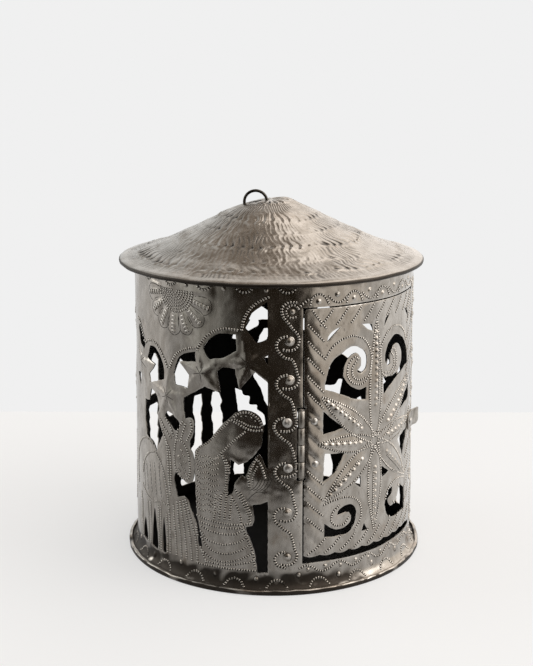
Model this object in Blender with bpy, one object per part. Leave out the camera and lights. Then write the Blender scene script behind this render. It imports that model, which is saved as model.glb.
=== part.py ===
"""Pierced steel candle lantern: a rolled, cut sheet with a hammered cone roof and a hinged door.

The wall and the door are drawn flat, as a maker lays them out on the sheet, and then rolled. On the
flat drawing x runs round the lantern to the right, as seen from outside, from the middle of the
door, and y is height. The drawing is in millimetres, and the rest is in metres.
World frame: origin at the centre of the base's underside, +Z up, the door faces -Y.
"""

import math

import bmesh
import bpy
import numpy as np
from mathutils import Matrix, Vector
from mathutils.geometry import delaunay_2d_cdt

# Driving sizes, in metres
WALL_TOP_RADIUS = 0.080
WALL_SPREAD = 0.0019
WALL_HEIGHT = 0.1736
SHEET = 0.0008
GAP = 0.0003
FLARE_HEIGHT = 0.010
FLANGE_REACH = 0.0043
BASE_LIP = 0.0018
BASE_BEND = 0.0003
EAVES = 0.00766
ROOF_RISE = 0.0325
ROOF_HEM = 0.0022
ROOF_HEM_WIDTH = 0.0030
HEM_BEND = 0.0006
ROOF_SHIFT = 0.0015
ROOF_DEPTH = 1.08
LOOP_WIRE = 0.0017
LOOP_WIDTH = 0.0132
LOOP_STAND = 0.0061
LOOP_OFFSET = 0.009
LOOP_CLINCH = 0.004
LOOP_ROUND = 0.95
LOOP_CLEAR = 0.65
HINGE_LENGTH = 0.038
BARREL_RADIUS = 0.0019
PIN_RADIUS = 0.0009
PIN_CAP = 0.0006
PIN_RIM = 0.0005
LEAF = 0.0009
LEAF_ROOT = 0.6
RIVET_SHANK = 0.0009
RIVET_TAIL = 0.0015
RIVET_DOME = 0.42
TAIL_HEIGHT = 0.0006
FRAME_RIVET_HEAD = 0.0027
DOOR_RIVET_HEAD = 0.0020
TAB = 0.0010
TAB_STAND = 0.0033
PETAL_CREASE = 0.0011
STAR_CREASE = 0.0015

# Sizes that follow from them
WALL_FOOT_RADIUS = WALL_TOP_RADIUS + WALL_SPREAD
FLANGE_RADIUS = WALL_FOOT_RADIUS + FLANGE_REACH
BASE_RADIUS = FLANGE_RADIUS + GAP + SHEET
ROOF_RADIUS = WALL_TOP_RADIUS + EAVES
LEAF_BACK = SHEET + GAP + LEAF

# Angles, in degrees
ROLL_STEP = 6.0
LOOP_BEARING = -133.5

# The flat drawing, in millimetres
DRAWN_RADIUS = 80.0
DRAWN_HEIGHT = 174.0
DRAWN_ROUND = 2 * math.pi * DRAWN_RADIUS
FOOT_LINE = 10.0
DOOR_HALF = 44.5
DOOR_LOW = 20.5
DOOR_HIGH = 158.5
DOOR_GAP = 0.8
FRAME_LOW = 16.0
FRAME_HIGH = 159.3
CORNER = 2.0
SCALLOPS = 10
SCALLOP_DEPTH = 1.1
HINGE_X = -46.0
HINGE_Y = 84.5
LEAF_REACH = 12.0
FRAME_RIVETS = {"upper": (-53.5, 97.0), "lower": (-53.0, 71.5)}
DOOR_RIVETS = {"upper": (-39.0, 97.0), "lower": (-38.5, 73.0)}
LATCH_Y = 80.5
LATCH_HEIGHT = 9.4
LATCH_RIVET_X = 41.2
LATCH_START = 37.6
LATCH_LIFT = 46.5
LATCH_END = 55.0
SEAM_X = 66.0
SEAM_LAP = 9.0
SEAM_BEND = 3.0
SEAM_LOW = 15.0
SEAM_HIGH = 163.0
SEAM_RIVETS = (32.0, 70.0, 108.0, 146.0)
SMOOTH_STEP = 3.6
HIDDEN_PALMS = ((97.0, 17.0), (170.0, 17.0), (311.0, 17.0))

# Fineness
ROUND_SIDES = 60
BARREL_SIDES = 14
RIVET_SIDES = 8


def clear_scene():
    for obj in list(bpy.data.objects):
        bpy.data.objects.remove(obj, do_unlink=True)


def steel(name, colour, roughness):
    """A bare steel finish."""
    material = bpy.data.materials.new(name)
    material.use_nodes = True
    shader = material.node_tree.nodes["Principled BSDF"]
    shader.inputs["Base Color"].default_value = (*colour, 1.0)
    shader.inputs["Roughness"].default_value = roughness
    shader.inputs["Metallic"].default_value = 0.9
    return material


def add_object(name, mesh, material):
    mesh.materials.append(material)
    obj = bpy.data.objects.new(name, mesh)
    bpy.context.collection.objects.link(obj)
    return obj


# Flat outlines


def smooth(points):
    """A smooth run through the points, as a Catmull-Rom curve."""
    if len(points) == 2:
        return [tuple(points[0])]
    run = [np.array(p, float) for p in points]
    run = [2 * run[0] - run[1], *run, 2 * run[-1] - run[-2]]
    drawn = []
    for before, start, end, after in zip(run, run[1:], run[2:], run[3:]):
        pieces = max(1, round(float(np.linalg.norm(end - start)) / SMOOTH_STEP))
        for i in range(pieces):
            t = i / pieces
            point = 0.5 * (
                2 * start
                + (end - before) * t
                + (2 * before - 5 * start + 4 * end - after) * t**2
                + (3 * start - before - 3 * end + after) * t**3
            )
            drawn.append((float(point[0]), float(point[1])))
    return drawn


def cut(*runs):
    """A closed outline: each run is smooth, and runs meet at corners."""
    outline = []
    for run in runs:
        outline += smooth(run)
    last = tuple(runs[-1][-1])
    if math.dist(last, outline[0]) > 0.01:
        outline.append(last)
    return outline


def circle(x, y, radius, sides=8):
    turns = (2 * math.pi * i / sides for i in range(sides))
    return [(x + radius * math.cos(a), y + radius * math.sin(a)) for a in turns]


def leaf_cut(x, y, near, far, width, degrees):
    """A leaf-shaped opening that points away from (x, y)."""
    angle = math.radians(degrees)
    along = np.array((math.cos(angle), math.sin(angle)))
    across = np.array((-along[1], along[0]))
    middle = (0.45 * near + 0.55 * far)
    tips = [np.array((x, y)) + along * d for d in (near, far)]
    sides = [np.array((x, y)) + along * middle + across * w for w in (width / 2, -width / 2)]
    return cut([tips[0], sides[1], tips[1]], [tips[1], sides[0], tips[0]])


def scalloped_slot(x0, x1, low, high, pitch):
    """An upright slot between serrated trunks: each side steps in once a pitch."""
    steps = max(1, round((high - low) / pitch))
    right, left = [], []
    for i in range(steps):
        y = low + (high - low) * i / steps
        right += [(x1 - 1.3, y), (x1, y + pitch * 0.7)]
        left += [(x0 + 1.3, y), (x0, y + pitch * 0.7)]
    return right + [(x1 - 1.6, high)] + [(x0 + 1.6, high)] + left[::-1]


def round_the_back(outline):
    """The same outline one turn further round the drum."""
    return [(x - DRAWN_ROUND, y) for x, y in outline]


def sky_cuts():
    """Openings between the cloud edge and the string of stars."""
    return [
        cut([(-63.8, 163), (-68, 160), (-72, 156.5), (-75, 151), (-75.5, 148), (-74, 146)],
            [(-74, 146), (-69.5, 140.5)], [(-69.5, 140.5), (-63.8, 142.5)]),
        cut([(-100, 135.5), (-96, 141), (-90, 144.5), (-81, 144.8)], [(-81, 144.8), (-80.5, 136)],
            [(-80.5, 136), (-86, 132.5), (-90, 131)], [(-90, 131), (-96, 130)],
            [(-96, 130), (-98, 132), (-100, 135.5)]),
        cut([(-105, 133), (-111, 131.5), (-115.5, 129), (-118, 125), (-120, 119)],
            [(-120, 119), (-119, 112.5)], [(-119, 112.5), (-110, 112)],
            [(-110, 112), (-109, 119.5)], [(-109, 119.5), (-116, 126)],
            [(-116, 126), (-104.5, 127.5)], [(-104.5, 127.5), (-105, 133)]),
        cut([(-63.8, 134), (-66, 132.5)], [(-66, 132.5), (-63.8, 129)]),
        cut([(-128, 113.5), (-128, 119), (-131, 125), (-137, 130), (-143, 129.5)],
            [(-143, 129.5), (-146, 122)], [(-146, 122), (-137, 120)], [(-137, 120), (-144, 113)],
            [(-144, 113), (-143, 108.5)], [(-143, 108.5), (-128, 113.5)]),
        cut([(-149, 129), (-152, 134), (-158, 139), (-161, 137)], [(-161, 137), (-157, 128)],
            [(-157, 128), (-151, 126)], [(-151, 126), (-149, 129)]),
        cut([(-163, 110), (-156, 111)], [(-156, 111), (-158, 103)], [(-158, 103), (-163, 110)]),
    ]


def scene_cuts():
    """Openings round the kneeling figure, the donkey and the stars over them."""
    under_stars = cut(
        [(-63.8, 119), (-70.5, 125)], [(-70.5, 125), (-79, 114.5)], [(-79, 114.5), (-81.5, 126)],
        [(-81.5, 126), (-88, 126.5)], [(-88, 126.5), (-91.5, 124)], [(-91.5, 124), (-89.5, 112)],
        [(-89.5, 112), (-99, 114.5)], [(-99, 114.5), (-113, 106)], [(-113, 106), (-113, 101)],
        [(-113, 101), (-112, 94.5)],
        [(-112, 94.5), (-107, 95), (-106, 88), (-109, 80), (-106.5, 74), (-106, 65), (-107.5, 59),
         (-111, 57.5), (-115, 60), (-119, 62)],
        [(-119, 62), (-120.5, 58), (-118, 47.5)],
        [(-118, 47.5), (-112, 49), (-108, 42), (-104.3, 33), (-103.2, 22)],
        [(-103.2, 22), (-101, 22)],
        [(-101, 22), (-102.3, 32), (-104, 40), (-105.5, 60), (-105.5, 75), (-103, 80), (-97, 84),
         (-90, 93), (-84, 99), (-80, 102.5), (-74, 103.5), (-68, 100), (-65.8, 94)],
        [(-65.8, 94), (-66.8, 89), (-66.9, 85), (-69.5, 80.5), (-74, 75.5), (-79.5, 72.6)],
        [(-79.5, 72.6), (-83.9, 75.6)], [(-83.9, 75.6), (-84.3, 70), (-85.3, 60), (-85.7, 54.3)],
        [(-85.7, 54.3), (-82.6, 56.8), (-81.4, 62.4), (-77.9, 66.6), (-75.9, 65.4)],
        [(-75.9, 65.4), (-73.6, 72), (-68.7, 79), (-65.8, 74.6), (-63.8, 70.4)],
    )
    return [
        under_stars,
        cut([(-63.8, 52.6), (-63.8, 11)], [(-63.8, 11), (-69.5, 11)],
            [(-69.5, 11), (-71, 24), (-76, 37)], [(-76, 37), (-72, 38.5)],
            [(-72, 38.5), (-71, 43), (-72, 50)], [(-72, 50), (-66, 51.6), (-63.8, 52.6)]),
        cut([(-128, 93), (-119, 86), (-116, 91), (-122, 95), (-126, 96)]),
        cut([(-131, 11.5), (-128, 11.5), (-128.4, 23), (-129.5, 33), (-131, 25)]),
        cut([(-142, 11.5), (-136, 11.5), (-136.8, 24), (-139, 35), (-141.4, 24)]),
        cut([(-156, 11.5), (-149, 11.5), (-150, 19), (-152.5, 25), (-155.3, 19)]),
        cut([(-150, 97), (-144, 98)], [(-144, 98), (-142, 105)],
            [(-142, 105), (-136, 103), (-133, 96), (-134.5, 91), (-130, 81)],
            [(-130, 81), (-137, 70)], [(-137, 70), (-141, 74), (-149, 76)],
            [(-149, 76), (-150.5, 86), (-150, 97)]),
    ]


def palm_cuts(x, reach):
    """Openings round one palm tree: slots beside its serrated trunk and gaps between its fronds."""
    cuts = [
        scalloped_slot(x - 11, x - 4.3, 30, 70, 8),
        scalloped_slot(x + 4.3, x + 10, 30, 72, 8),
        cut([(x - 12, 12), (x - 6, 12), (x - 5.2, 18), (x - 8.5, 25), (x - 12.2, 18)]),
        cut([(x + 5, 12), (x + 13, 12), (x + 12.4, 17), (x + 9, 25), (x + 5.4, 19)]),
    ]
    for degrees in (0, 32, 64, 116, 148, 180):
        cuts.append(leaf_cut(x, 86, 9, reach, 6.4, degrees))
    return cuts


def far_trunk_cuts():
    """Openings beside the palm trunks that show through from the front."""
    return [
        cut([(231.8, 70), (228, 70), (225.3, 63.2), (226.5, 59.7), (224.7, 53), (225, 48),
             (222.8, 40), (224.6, 32), (229.6, 31), (231.4, 40), (231.8, 48.5), (233, 53)],
            [(233, 53), (231.8, 58.5), (233, 62.6), (231.8, 70)]),
        cut([(245.3, 70), (240, 70)], [(240, 70), (239.4, 63.2), (240.6, 57.4), (239.4, 48),
             (240.6, 41), (240, 35), (242.6, 28), (243.5, 20), (243.5, 11)],
            [(243.5, 11), (256.6, 11)], [(256.6, 11), (257.4, 14), (253, 22), (249.4, 33),
             (246, 38), (245.3, 52.6), (247, 60.3), (245.3, 70)]),
        cut([(193, 55), (196.5, 61), (198.8, 69), (204, 78.5)], [(204, 78.5), (202.6, 80.6),
             (196, 77.4), (190, 71), (188.4, 63), (193, 55)]),
        cut([(216, 71), (211.8, 69)], [(211.8, 69), (210, 65.6), (206.5, 64.4), (206.5, 59),
             (201.8, 58.5), (201.2, 55), (197, 51.5), (196, 45)],
            [(196, 45), (204, 39), (211, 45), (214, 55), (216, 71)]),
        cut([(210.4, 11), (216.8, 11)], [(216.8, 11), (217.3, 16), (214.6, 25), (210.4, 18)],
            [(210.4, 18), (210.4, 11)]),
        cut([(219.5, 16), (225, 17), (226, 26), (220, 25)], [(220, 25), (219.5, 16)]),
        scalloped_slot(279, 291, 36, 74, 8),
        cut([(278, 81), (290.4, 80)], [(290.4, 80), (291, 94), (284, 106), (278.4, 101)],
            [(278.4, 101), (278, 81)]),
    ]


def far_sky_cuts():
    """Openings among the stars and fronds that show through from the front."""
    return [
        cut([(190, 117), (193.6, 121.5), (200, 125.6), (206, 122), (208, 118)],
            [(208, 118), (206, 116.4)], [(206, 116.4), (208.8, 111), (207, 109)],
            [(207, 109), (200.6, 113), (200.8, 116.2)], [(200.8, 116.2), (190, 117)]),
        cut([(196.8, 110.6), (193.6, 110.4), (190.6, 107), (194.6, 103.4), (201.4, 100)],
            [(201.4, 100), (199.4, 106), (196.8, 110.6)]),
        cut([(189, 95), (193.4, 94.6), (197.6, 91.4), (189, 89.6)], [(189, 89.6), (189, 95)]),
        cut([(210, 107), (213, 104), (217.8, 105), (217.2, 107.8)], [(217.2, 107.8), (210, 107)]),
        cut([(248, 85), (250.2, 76)], [(250.2, 76), (256, 74), (261, 79), (262.4, 87), (257, 97)],
            [(257, 97), (252.4, 92), (248, 85)]),
        cut([(263.6, 61), (267.4, 61), (270, 65), (265, 66)], [(265, 66), (263.6, 61)]),
        cut([(213, 122), (218, 127.4), (226, 128)], [(226, 128), (226, 121), (219, 117)],
            [(219, 117), (213, 122)]),
        cut([(230, 128), (238, 126.6), (243, 121)], [(243, 121), (236, 117), (230, 121)],
            [(230, 121), (230, 128)]),
    ]


def far_door_cuts():
    """Openings of the far side that show through the door."""
    return [
        cut([(117, 114), (130, 113), (131, 119), (125, 123)], [(125, 123), (117, 114)]),
        cut([(143, 112), (147, 116.4), (153, 113.6), (157.4, 107)],
            [(157.4, 107), (155.6, 103), (149, 106.6), (143, 112)]),
        cut([(123, 90), (127, 87.6), (132, 88), (134, 92), (139.4, 94.4), (144.4, 96.6)],
            [(144.4, 96.6), (141, 101.6), (133, 105.6), (125.6, 103), (123, 90)]),
        cut([(143.8, 79.6), (146.8, 79.4), (149.6, 75.2), (157, 74)],
            [(157, 74), (158, 69), (150, 67.8), (145.6, 68.6)], [(145.6, 68.6), (143.8, 79.6)]),
        cut([(127.4, 67.4), (130, 65.4), (132.4, 68.6), (129.6, 71)], [(129.6, 71), (127.4, 67.4)]),
        cut([(150.4, 20), (152.8, 27.6), (156.6, 26.4), (157.6, 18), (157, 11)],
            [(157, 11), (151, 11)], [(151, 11), (150.4, 20)]),
        cut([(129, 11), (135.4, 11)], [(135.4, 11), (131.4, 16.6), (129, 15)],
            [(129, 15), (129, 11)]),
        cut([(168.6, 110), (171.6, 110), (171.4, 117.6), (169.2, 117)],
            [(169.2, 117), (168.6, 110)]),
        cut([(151, 124), (157, 129), (163, 124)], [(163, 124), (157, 121), (151, 124)]),
    ]


def hidden_cuts():
    """The stretch that faces away: palms under stars, in the style of the rest."""
    cuts = far_trunk_cuts() + far_sky_cuts() + far_door_cuts()
    for x, reach in HIDDEN_PALMS:
        cuts += palm_cuts(x, reach)
    return [round_the_back(outline) for outline in cuts]


def door_cuts():
    """Openings round the poinsettia: scrolls in the corners and gaps between the petals."""
    return [
        cut([(-33, 114), (-33, 117), (-31, 125), (-28, 130), (-23, 133), (-18, 136), (-12, 135),
             (-7.5, 131), (-6.5, 126), (-8, 122), (-11.5, 120.5), (-13.5, 122)],
            [(-13.5, 122), (-11, 124.5), (-11, 129), (-14, 132), (-19, 130), (-22, 124),
             (-21, 118), (-14, 112), (-6.5, 112)],
            [(-6.5, 112), (-7, 105)], [(-7, 105), (-15, 106.5), (-24, 110.5), (-33, 114)]),
        cut([(-32, 140), (-30, 145), (-24, 147.5)], [(-24, 147.5), (-27, 145), (-32, 140)]),
        cut([(-10, 147.5), (-3, 146.5)], [(-3, 146.5), (-2, 142.5)], [(-2, 142.5), (-6, 144)],
            [(-6, 144), (-10, 147.5)]),
        cut([(-34, 102), (-34, 89)], [(-34, 89), (-22, 91.5)], [(-22, 91.5), (-34, 102)]),
        cut([(-33, 78), (-34, 62)], [(-34, 62), (-27, 67), (-21, 77)], [(-21, 77), (-33, 78)]),
        cut([(-14, 58), (-10, 62)], [(-10, 62), (-10, 55)], [(-10, 55), (-14, 58)]),
        cut([(-33, 38), (-33, 30)], [(-33, 30), (-20, 30), (-15, 34), (-13, 41), (-15, 45.5),
             (-19, 47), (-24, 45), (-25.5, 42)],
            [(-25.5, 42), (-21, 42.5), (-17.5, 42), (-17, 37), (-21, 34), (-27, 34), (-33, 38)]),
        cut([(36.4, 117), (35.6, 122), (33, 128), (28.6, 132.6), (23, 136), (17, 136.8),
             (11.6, 133.6), (8.6, 128.6), (8.4, 123.6), (10.4, 120.6), (13.4, 121.4)],
            [(13.4, 121.4), (13, 126), (15, 130.4), (19, 131.8), (23.6, 129.6), (26.6, 124.4),
             (26.2, 119.4), (22.4, 115.6), (15, 114.2), (6.4, 114.8)],
            [(6.4, 114.8), (7.5, 105)], [(7.5, 105), (12, 108.4), (19, 111.6), (28, 114.4),
             (36.4, 117)]),
        cut([(7, 143.6), (8.4, 147.8), (12.6, 150.2)], [(12.6, 150.2), (7, 143.6)]),
        cut([(36, 141.5), (34.8, 147), (30, 150)], [(30, 150), (33.4, 146.4), (36, 141.5)]),
        cut([(-9.4, 29.2), (-4.8, 29.2)], [(-4.8, 29.2), (-7.4, 33.4)], [(-7.4, 33.4), (-9.4, 29.2)]),
        cut([(23, 92), (39, 105)], [(39, 105), (39.5, 95.4)], [(39.5, 95.4), (23, 92)]),
        cut([(23, 75), (30, 63)], [(30, 63), (36.8, 78.4)], [(36.8, 78.4), (23, 75)]),
        cut([(6, 64), (13, 59)], [(13, 59), (7, 57)], [(7, 57), (6, 64)]),
        cut([(9, 40), (12, 47), (17, 48.5)], [(17, 48.5), (17, 45), (12.5, 42), (15, 37.5),
             (22, 39), (27, 47)],
            [(27, 47), (34, 42)], [(34, 42), (34, 30)], [(34, 30), (20, 29.5), (12, 33), (9, 40)]),
    ]


def door_outline():
    """The door's edge: rounded corners above, a notch for the barrel, a scalloped lower edge."""
    notch = notch_half_height()
    barrel = HINGE_X + mm(BARREL_RADIUS + 2 * GAP)
    edge = []
    for i in range(SCALLOPS * 4 + 1):
        x = -DOOR_HALF + 2 * DOOR_HALF * i / (SCALLOPS * 4)
        edge.append((x, DOOR_LOW - SCALLOP_DEPTH * abs(math.sin(math.pi * i / 4))))
    right, top = DOOR_HALF, DOOR_HIGH
    edge += [(right, top - CORNER), (right - 0.3 * CORNER, top - 0.3 * CORNER),
             (right - CORNER, top), (-right + CORNER, top),
             (-right + 0.3 * CORNER, top - 0.3 * CORNER), (-right, top - CORNER)]
    edge += [(-right, HINGE_Y + notch), (barrel, HINGE_Y + notch),
             (barrel, HINGE_Y - notch), (-right, HINGE_Y - notch)]
    return edge


def doorway():
    """The hole in the wall that the door closes, with a notch for the hinge barrel."""
    half = DOOR_HALF + DOOR_GAP
    notch = notch_half_height()
    barrel = HINGE_X - mm(BARREL_RADIUS + 2 * GAP)
    return [(-half, FRAME_LOW), (half, FRAME_LOW), (half, FRAME_HIGH), (-half, FRAME_HIGH),
            (-half, HINGE_Y + notch), (barrel, HINGE_Y + notch),
            (barrel, HINGE_Y - notch), (-half, HINGE_Y - notch)]


def mm(length):
    """A real length as millimetres on the flat drawing."""
    return length / WALL_TOP_RADIUS * DRAWN_RADIUS


def hinge_half_height():
    return HINGE_LENGTH / WALL_HEIGHT * DRAWN_HEIGHT / 2


def notch_half_height():
    """Half the height of the notches that the barrel and the pin's ends stand in."""
    return hinge_half_height() + mm(PIN_CAP + 3 * GAP)


def wall_outline():
    """The whole sheet: the foot runs the full turn, and a lap tab stands past the seam."""
    start = SEAM_X - DRAWN_ROUND
    end = SEAM_X - mm(GAP)
    tab = SEAM_X + SEAM_LAP
    return [(start, 0), (end, 0), (end, SEAM_LOW), (tab, SEAM_LOW + 2), (tab, SEAM_HIGH - 2),
            (end, SEAM_HIGH), (end, DRAWN_HEIGHT), (start, DRAWN_HEIGHT)]


# Rolling


def wall_section(y):
    """Outer radius, height and outward slope of the wall's section at height y on the drawing."""
    taper = (WALL_TOP_RADIUS - WALL_FOOT_RADIUS) / WALL_HEIGHT
    foot_z = FLARE_HEIGHT
    foot_r = WALL_FOOT_RADIUS + taper * foot_z
    if y >= FOOT_LINE:
        z = foot_z + (y - FOOT_LINE) / (DRAWN_HEIGHT - FOOT_LINE) * (WALL_HEIGHT - foot_z)
        return WALL_FOOT_RADIUS + taper * z, z, (taper, 1.0)
    flange_z = SHEET + GAP + SHEET
    turn = (FOOT_LINE - y) / FOOT_LINE * math.pi / 2
    r = foot_r + (FLANGE_RADIUS - foot_r) * (1 - math.cos(turn))
    z = flange_z + (foot_z - flange_z) * (1 - math.sin(turn))
    slope = (-(FLANGE_RADIUS - foot_r) * math.sin(turn), (foot_z - flange_z) * math.cos(turn))
    return r, z, slope


def seam_step(x, y):
    """How far the sheet steps outward to lap over its other end at the seam."""
    across = min(max((x - (SEAM_X - SEAM_BEND)) / (SEAM_BEND / 1.5), 0.0), 1.0)
    low = min(max((y - FOOT_LINE) / (SEAM_LOW - FOOT_LINE), 0.0), 1.0)
    high = min(max((DRAWN_HEIGHT - 5.0 - y) / (DRAWN_HEIGHT - 5.0 - SEAM_HIGH), 0.0), 1.0)
    return (SHEET + GAP) * across * min(low, high)


def on_wall(x, y, depth):
    """The rolled place of a point of the drawing, depth inward from the outer face."""
    r, z, slope = wall_section(y)
    length = math.hypot(*slope)
    inward = (-slope[1] / length, slope[0] / length)
    r += inward[0] * depth
    z += inward[1] * depth
    angle = x / DRAWN_RADIUS
    return Vector((r * math.sin(angle), -r * math.cos(angle), z))


def on_sheet(x, y, depth):
    return on_wall(x, y, depth - seam_step(x, y))


def on_latch(x, y, depth):
    """The latch tab lies on the door and lifts off past its edge, to be held by a finger."""
    along = min(max((x - LATCH_LIFT) / (LATCH_END - LATCH_LIFT), 0.0), 1.0)
    return on_wall(x, y, depth - TAB_STAND * along * along * (3 - 2 * along))


def inside(loops, spots):
    """Which spots lie on metal: an odd number of outlines round them."""
    starts = np.array([p for loop in loops for p in loop])
    ends = np.array([p for loop in loops for p in loop[1:] + loop[:1]])
    odd = np.zeros(len(spots), bool)
    for start, end in zip(starts, ends):
        if start[1] == end[1]:
            continue
        spans = (start[1] > spots[:, 1]) != (end[1] > spots[:, 1])
        x = start[0] + (spots[:, 1] - start[1]) / (end[1] - start[1]) * (end[0] - start[0])
        odd ^= spans & (spots[:, 0] < x)
    return odd


def flat_sheet(loops, lines):
    """Points and triangles of the flat sheet, cut along its bend and crease lines."""
    points, edges = [], []
    for loop in loops:
        first = len(points)
        points += loop
        edges += [(first + i, first + (i + 1) % len(loop)) for i in range(len(loop))]
    for line in lines:
        first = len(points)
        points += line
        edges += [(first + i, first + i + 1) for i in range(len(line) - 1)]
    found, _, faces, *_ = delaunay_2d_cdt([Vector(p) for p in points], edges, [], 1, 1e-3)
    flat = np.array([tuple(p) for p in found])
    triangles = np.array([tuple(face) for face in faces])
    triangles = triangles[inside(loops, flat[triangles].mean(axis=1))]
    a, b, c = (flat[triangles[:, i]] for i in range(3))
    turned = (b[:, 0] - a[:, 0]) * (c[:, 1] - a[:, 1]) < (b[:, 1] - a[:, 1]) * (c[:, 0] - a[:, 0])
    triangles[turned] = triangles[turned][:, ::-1]
    used, index = np.unique(triangles, return_inverse=True)
    return flat[used], index.reshape(-1, 3)


def crease_lift(point, creases):
    """How far a crease raises a point: each crease is start, end, height at the start and end."""
    for start, end, low, high in creases:
        along = np.array(end) - start
        share = float(np.dot(point - start, along) / np.dot(along, along))
        if -1e-4 < share < 1.0001:
            off = np.linalg.norm(point - (start + share * along))
            if off < 2e-3:
                return low + (high - low) * share
    return 0.0


def rolled_sheet(name, loops, material, place=on_wall, top=0.0, thick=SHEET, lines=(), creases=()):
    """One solid: the flat sheet given its thickness and rolled to the drum."""
    outline = np.array(loops[0])
    low, high = outline.min(axis=0) - 1.0, outline.max(axis=0) + 1.0
    step = math.radians(ROLL_STEP) * DRAWN_RADIUS
    bends = [[(i * step, low[1]), (i * step, high[1])]
             for i in range(math.ceil(low[0] / step), math.floor(high[0] / step) + 1)]
    ridges = [[start, end] for start, end, _, _ in creases]
    flat, triangles = flat_sheet(loops, [*bends, *lines, *ridges])
    count = len(flat)
    lifts = [crease_lift(point, creases) for point in flat]
    outer = [place(x, y, top - lift) for (x, y), lift in zip(flat, lifts)]
    inner = [place(x, y, top + thick - lift) for (x, y), lift in zip(flat, lifts)]
    faces = [tuple(t) for t in triangles] + [tuple(t[::-1] + count) for t in triangles]
    directed = {(int(t[i]), int(t[(i + 1) % 3])) for t in triangles for i in range(3)}
    faces += [(b, a, a + count, b + count) for a, b in sorted(directed) if (b, a) not in directed]
    mesh = bpy.data.meshes.new(name)
    mesh.from_pydata([*outer, *inner], [], [[int(i) for i in face] for face in faces])
    mesh.validate()
    return add_object(name, mesh, material)


# Turned pieces


def turned(name, profile, material, sides=ROUND_SIDES):
    """A closed section of (radius, height) points turned round +Z; both ends may lie on the axis."""
    shape = bmesh.new()
    rings = []
    for radius, height in profile:
        if radius < 1e-7:
            rings.append([shape.verts.new((0, 0, height))])
            continue
        angles = (2 * math.pi * i / sides for i in range(sides))
        rings.append([shape.verts.new((radius * math.cos(a), radius * math.sin(a), height))
                      for a in angles])
    pairs = list(zip(rings, rings[1:]))
    if len(rings[0]) > 1:
        pairs.append((rings[-1], rings[0]))
    for low, high in pairs:
        for i in range(sides):
            j = (i + 1) % sides
            corners = [low[i % len(low)], low[j % len(low)], high[j % len(high)], high[i % len(high)]]
            face = list(dict.fromkeys(corners))
            shape.faces.new(face)
    bmesh.ops.recalc_face_normals(shape, faces=shape.faces)
    mesh = bpy.data.meshes.new(name)
    shape.to_mesh(mesh)
    shape.free()
    mesh.shade_smooth()
    mesh.set_sharp_from_angle(angle=math.radians(35))
    return add_object(name, mesh, material)


def wall_frame(x, y):
    """A matrix whose origin lies on the wall's outer face and whose +Z points straight out."""
    origin = on_wall(x, y, 0.0)
    out = (origin - on_wall(x, y, SHEET)).normalized()
    up = (on_wall(x, y + 1, 0.0) - origin).normalized()
    side = up.cross(out).normalized()
    return Matrix.Translation(origin) @ Matrix((side, out.cross(side), out)).transposed().to_4x4()


def rivet(name, x, y, head, above, below, material):
    """A rivet with a domed head above the outer face and a flattened tail below the inner one."""
    dome = head * RIVET_DOME
    base = above + GAP
    tail = below + GAP
    profile = [(0, base + dome), (head * 0.55, base + dome * 0.80), (head * 0.88, base + dome * 0.42),
               (head, base), (RIVET_SHANK, base), (RIVET_SHANK, -tail), (RIVET_TAIL, -tail),
               (RIVET_TAIL * 0.8, -tail - TAIL_HEIGHT), (0, -tail - TAIL_HEIGHT)]
    obj = turned(name, profile, material, RIVET_SIDES)
    obj.matrix_world = wall_frame(x, y)
    return obj


def rivet_hole(x, y):
    return circle(x, y, mm(RIVET_SHANK + GAP))


# Pieces


def wall_shell(material):
    """The drum: one pierced sheet with its foot turned out to a flange and its seam lapped."""
    rivets = list(FRAME_RIVETS.values())
    rivets += [(SEAM_X + SEAM_LAP / 2, y) for y in SEAM_RIVETS]
    rivets += [(SEAM_X + SEAM_LAP / 2 - DRAWN_ROUND, y) for y in SEAM_RIVETS]
    holes = [rivet_hole(x, y) for x, y in rivets]
    loops = [wall_outline(), doorway(), *sky_cuts(), *scene_cuts(), *hidden_cuts(), *holes]
    start, end = SEAM_X - DRAWN_ROUND - 1, SEAM_X + 1
    foot = [[(start, y), (end, y)] for y in (2.5, 5.0, 7.5, FOOT_LINE)]
    seam = [[(x, FOOT_LINE), (x, DRAWN_HEIGHT - 5)] for x in (SEAM_X - SEAM_BEND, SEAM_X - SEAM_BEND / 3)]
    seam += [[(SEAM_X - 4.0, y), (SEAM_X + SEAM_LAP + 1, y)]
             for y in (SEAM_LOW, SEAM_HIGH, DRAWN_HEIGHT - 5)]
    return rolled_sheet("wall_shell", loops, material, on_sheet, lines=[*foot, *seam],
                        creases=star_creases())


def star_creases():
    """The raised ridges of the stars, from each middle to its five tips."""
    stars = [
        ((-74, 129), [(-77, 143), (-65.5, 136.5), (-66.5, 122), (-78.5, 118), (-87, 129.5)]),
        ((-101, 122), [(-103.3, 131), (-93, 127.5), (-91.5, 114), (-110, 113), (-113, 125)]),
        ((-125, 105), [(-124.3, 118), (-115, 107.3), (-121, 98.5), (-131, 99), (-138, 108)]),
        ((-153, 119), [(-152, 124), (-140, 120), (-146.5, 103), (-157, 112.5), (-160, 124)]),
    ]
    height = STAR_CREASE
    return [(middle, tip, height, 0.0) for middle, tips in stars for tip in tips]


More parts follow.
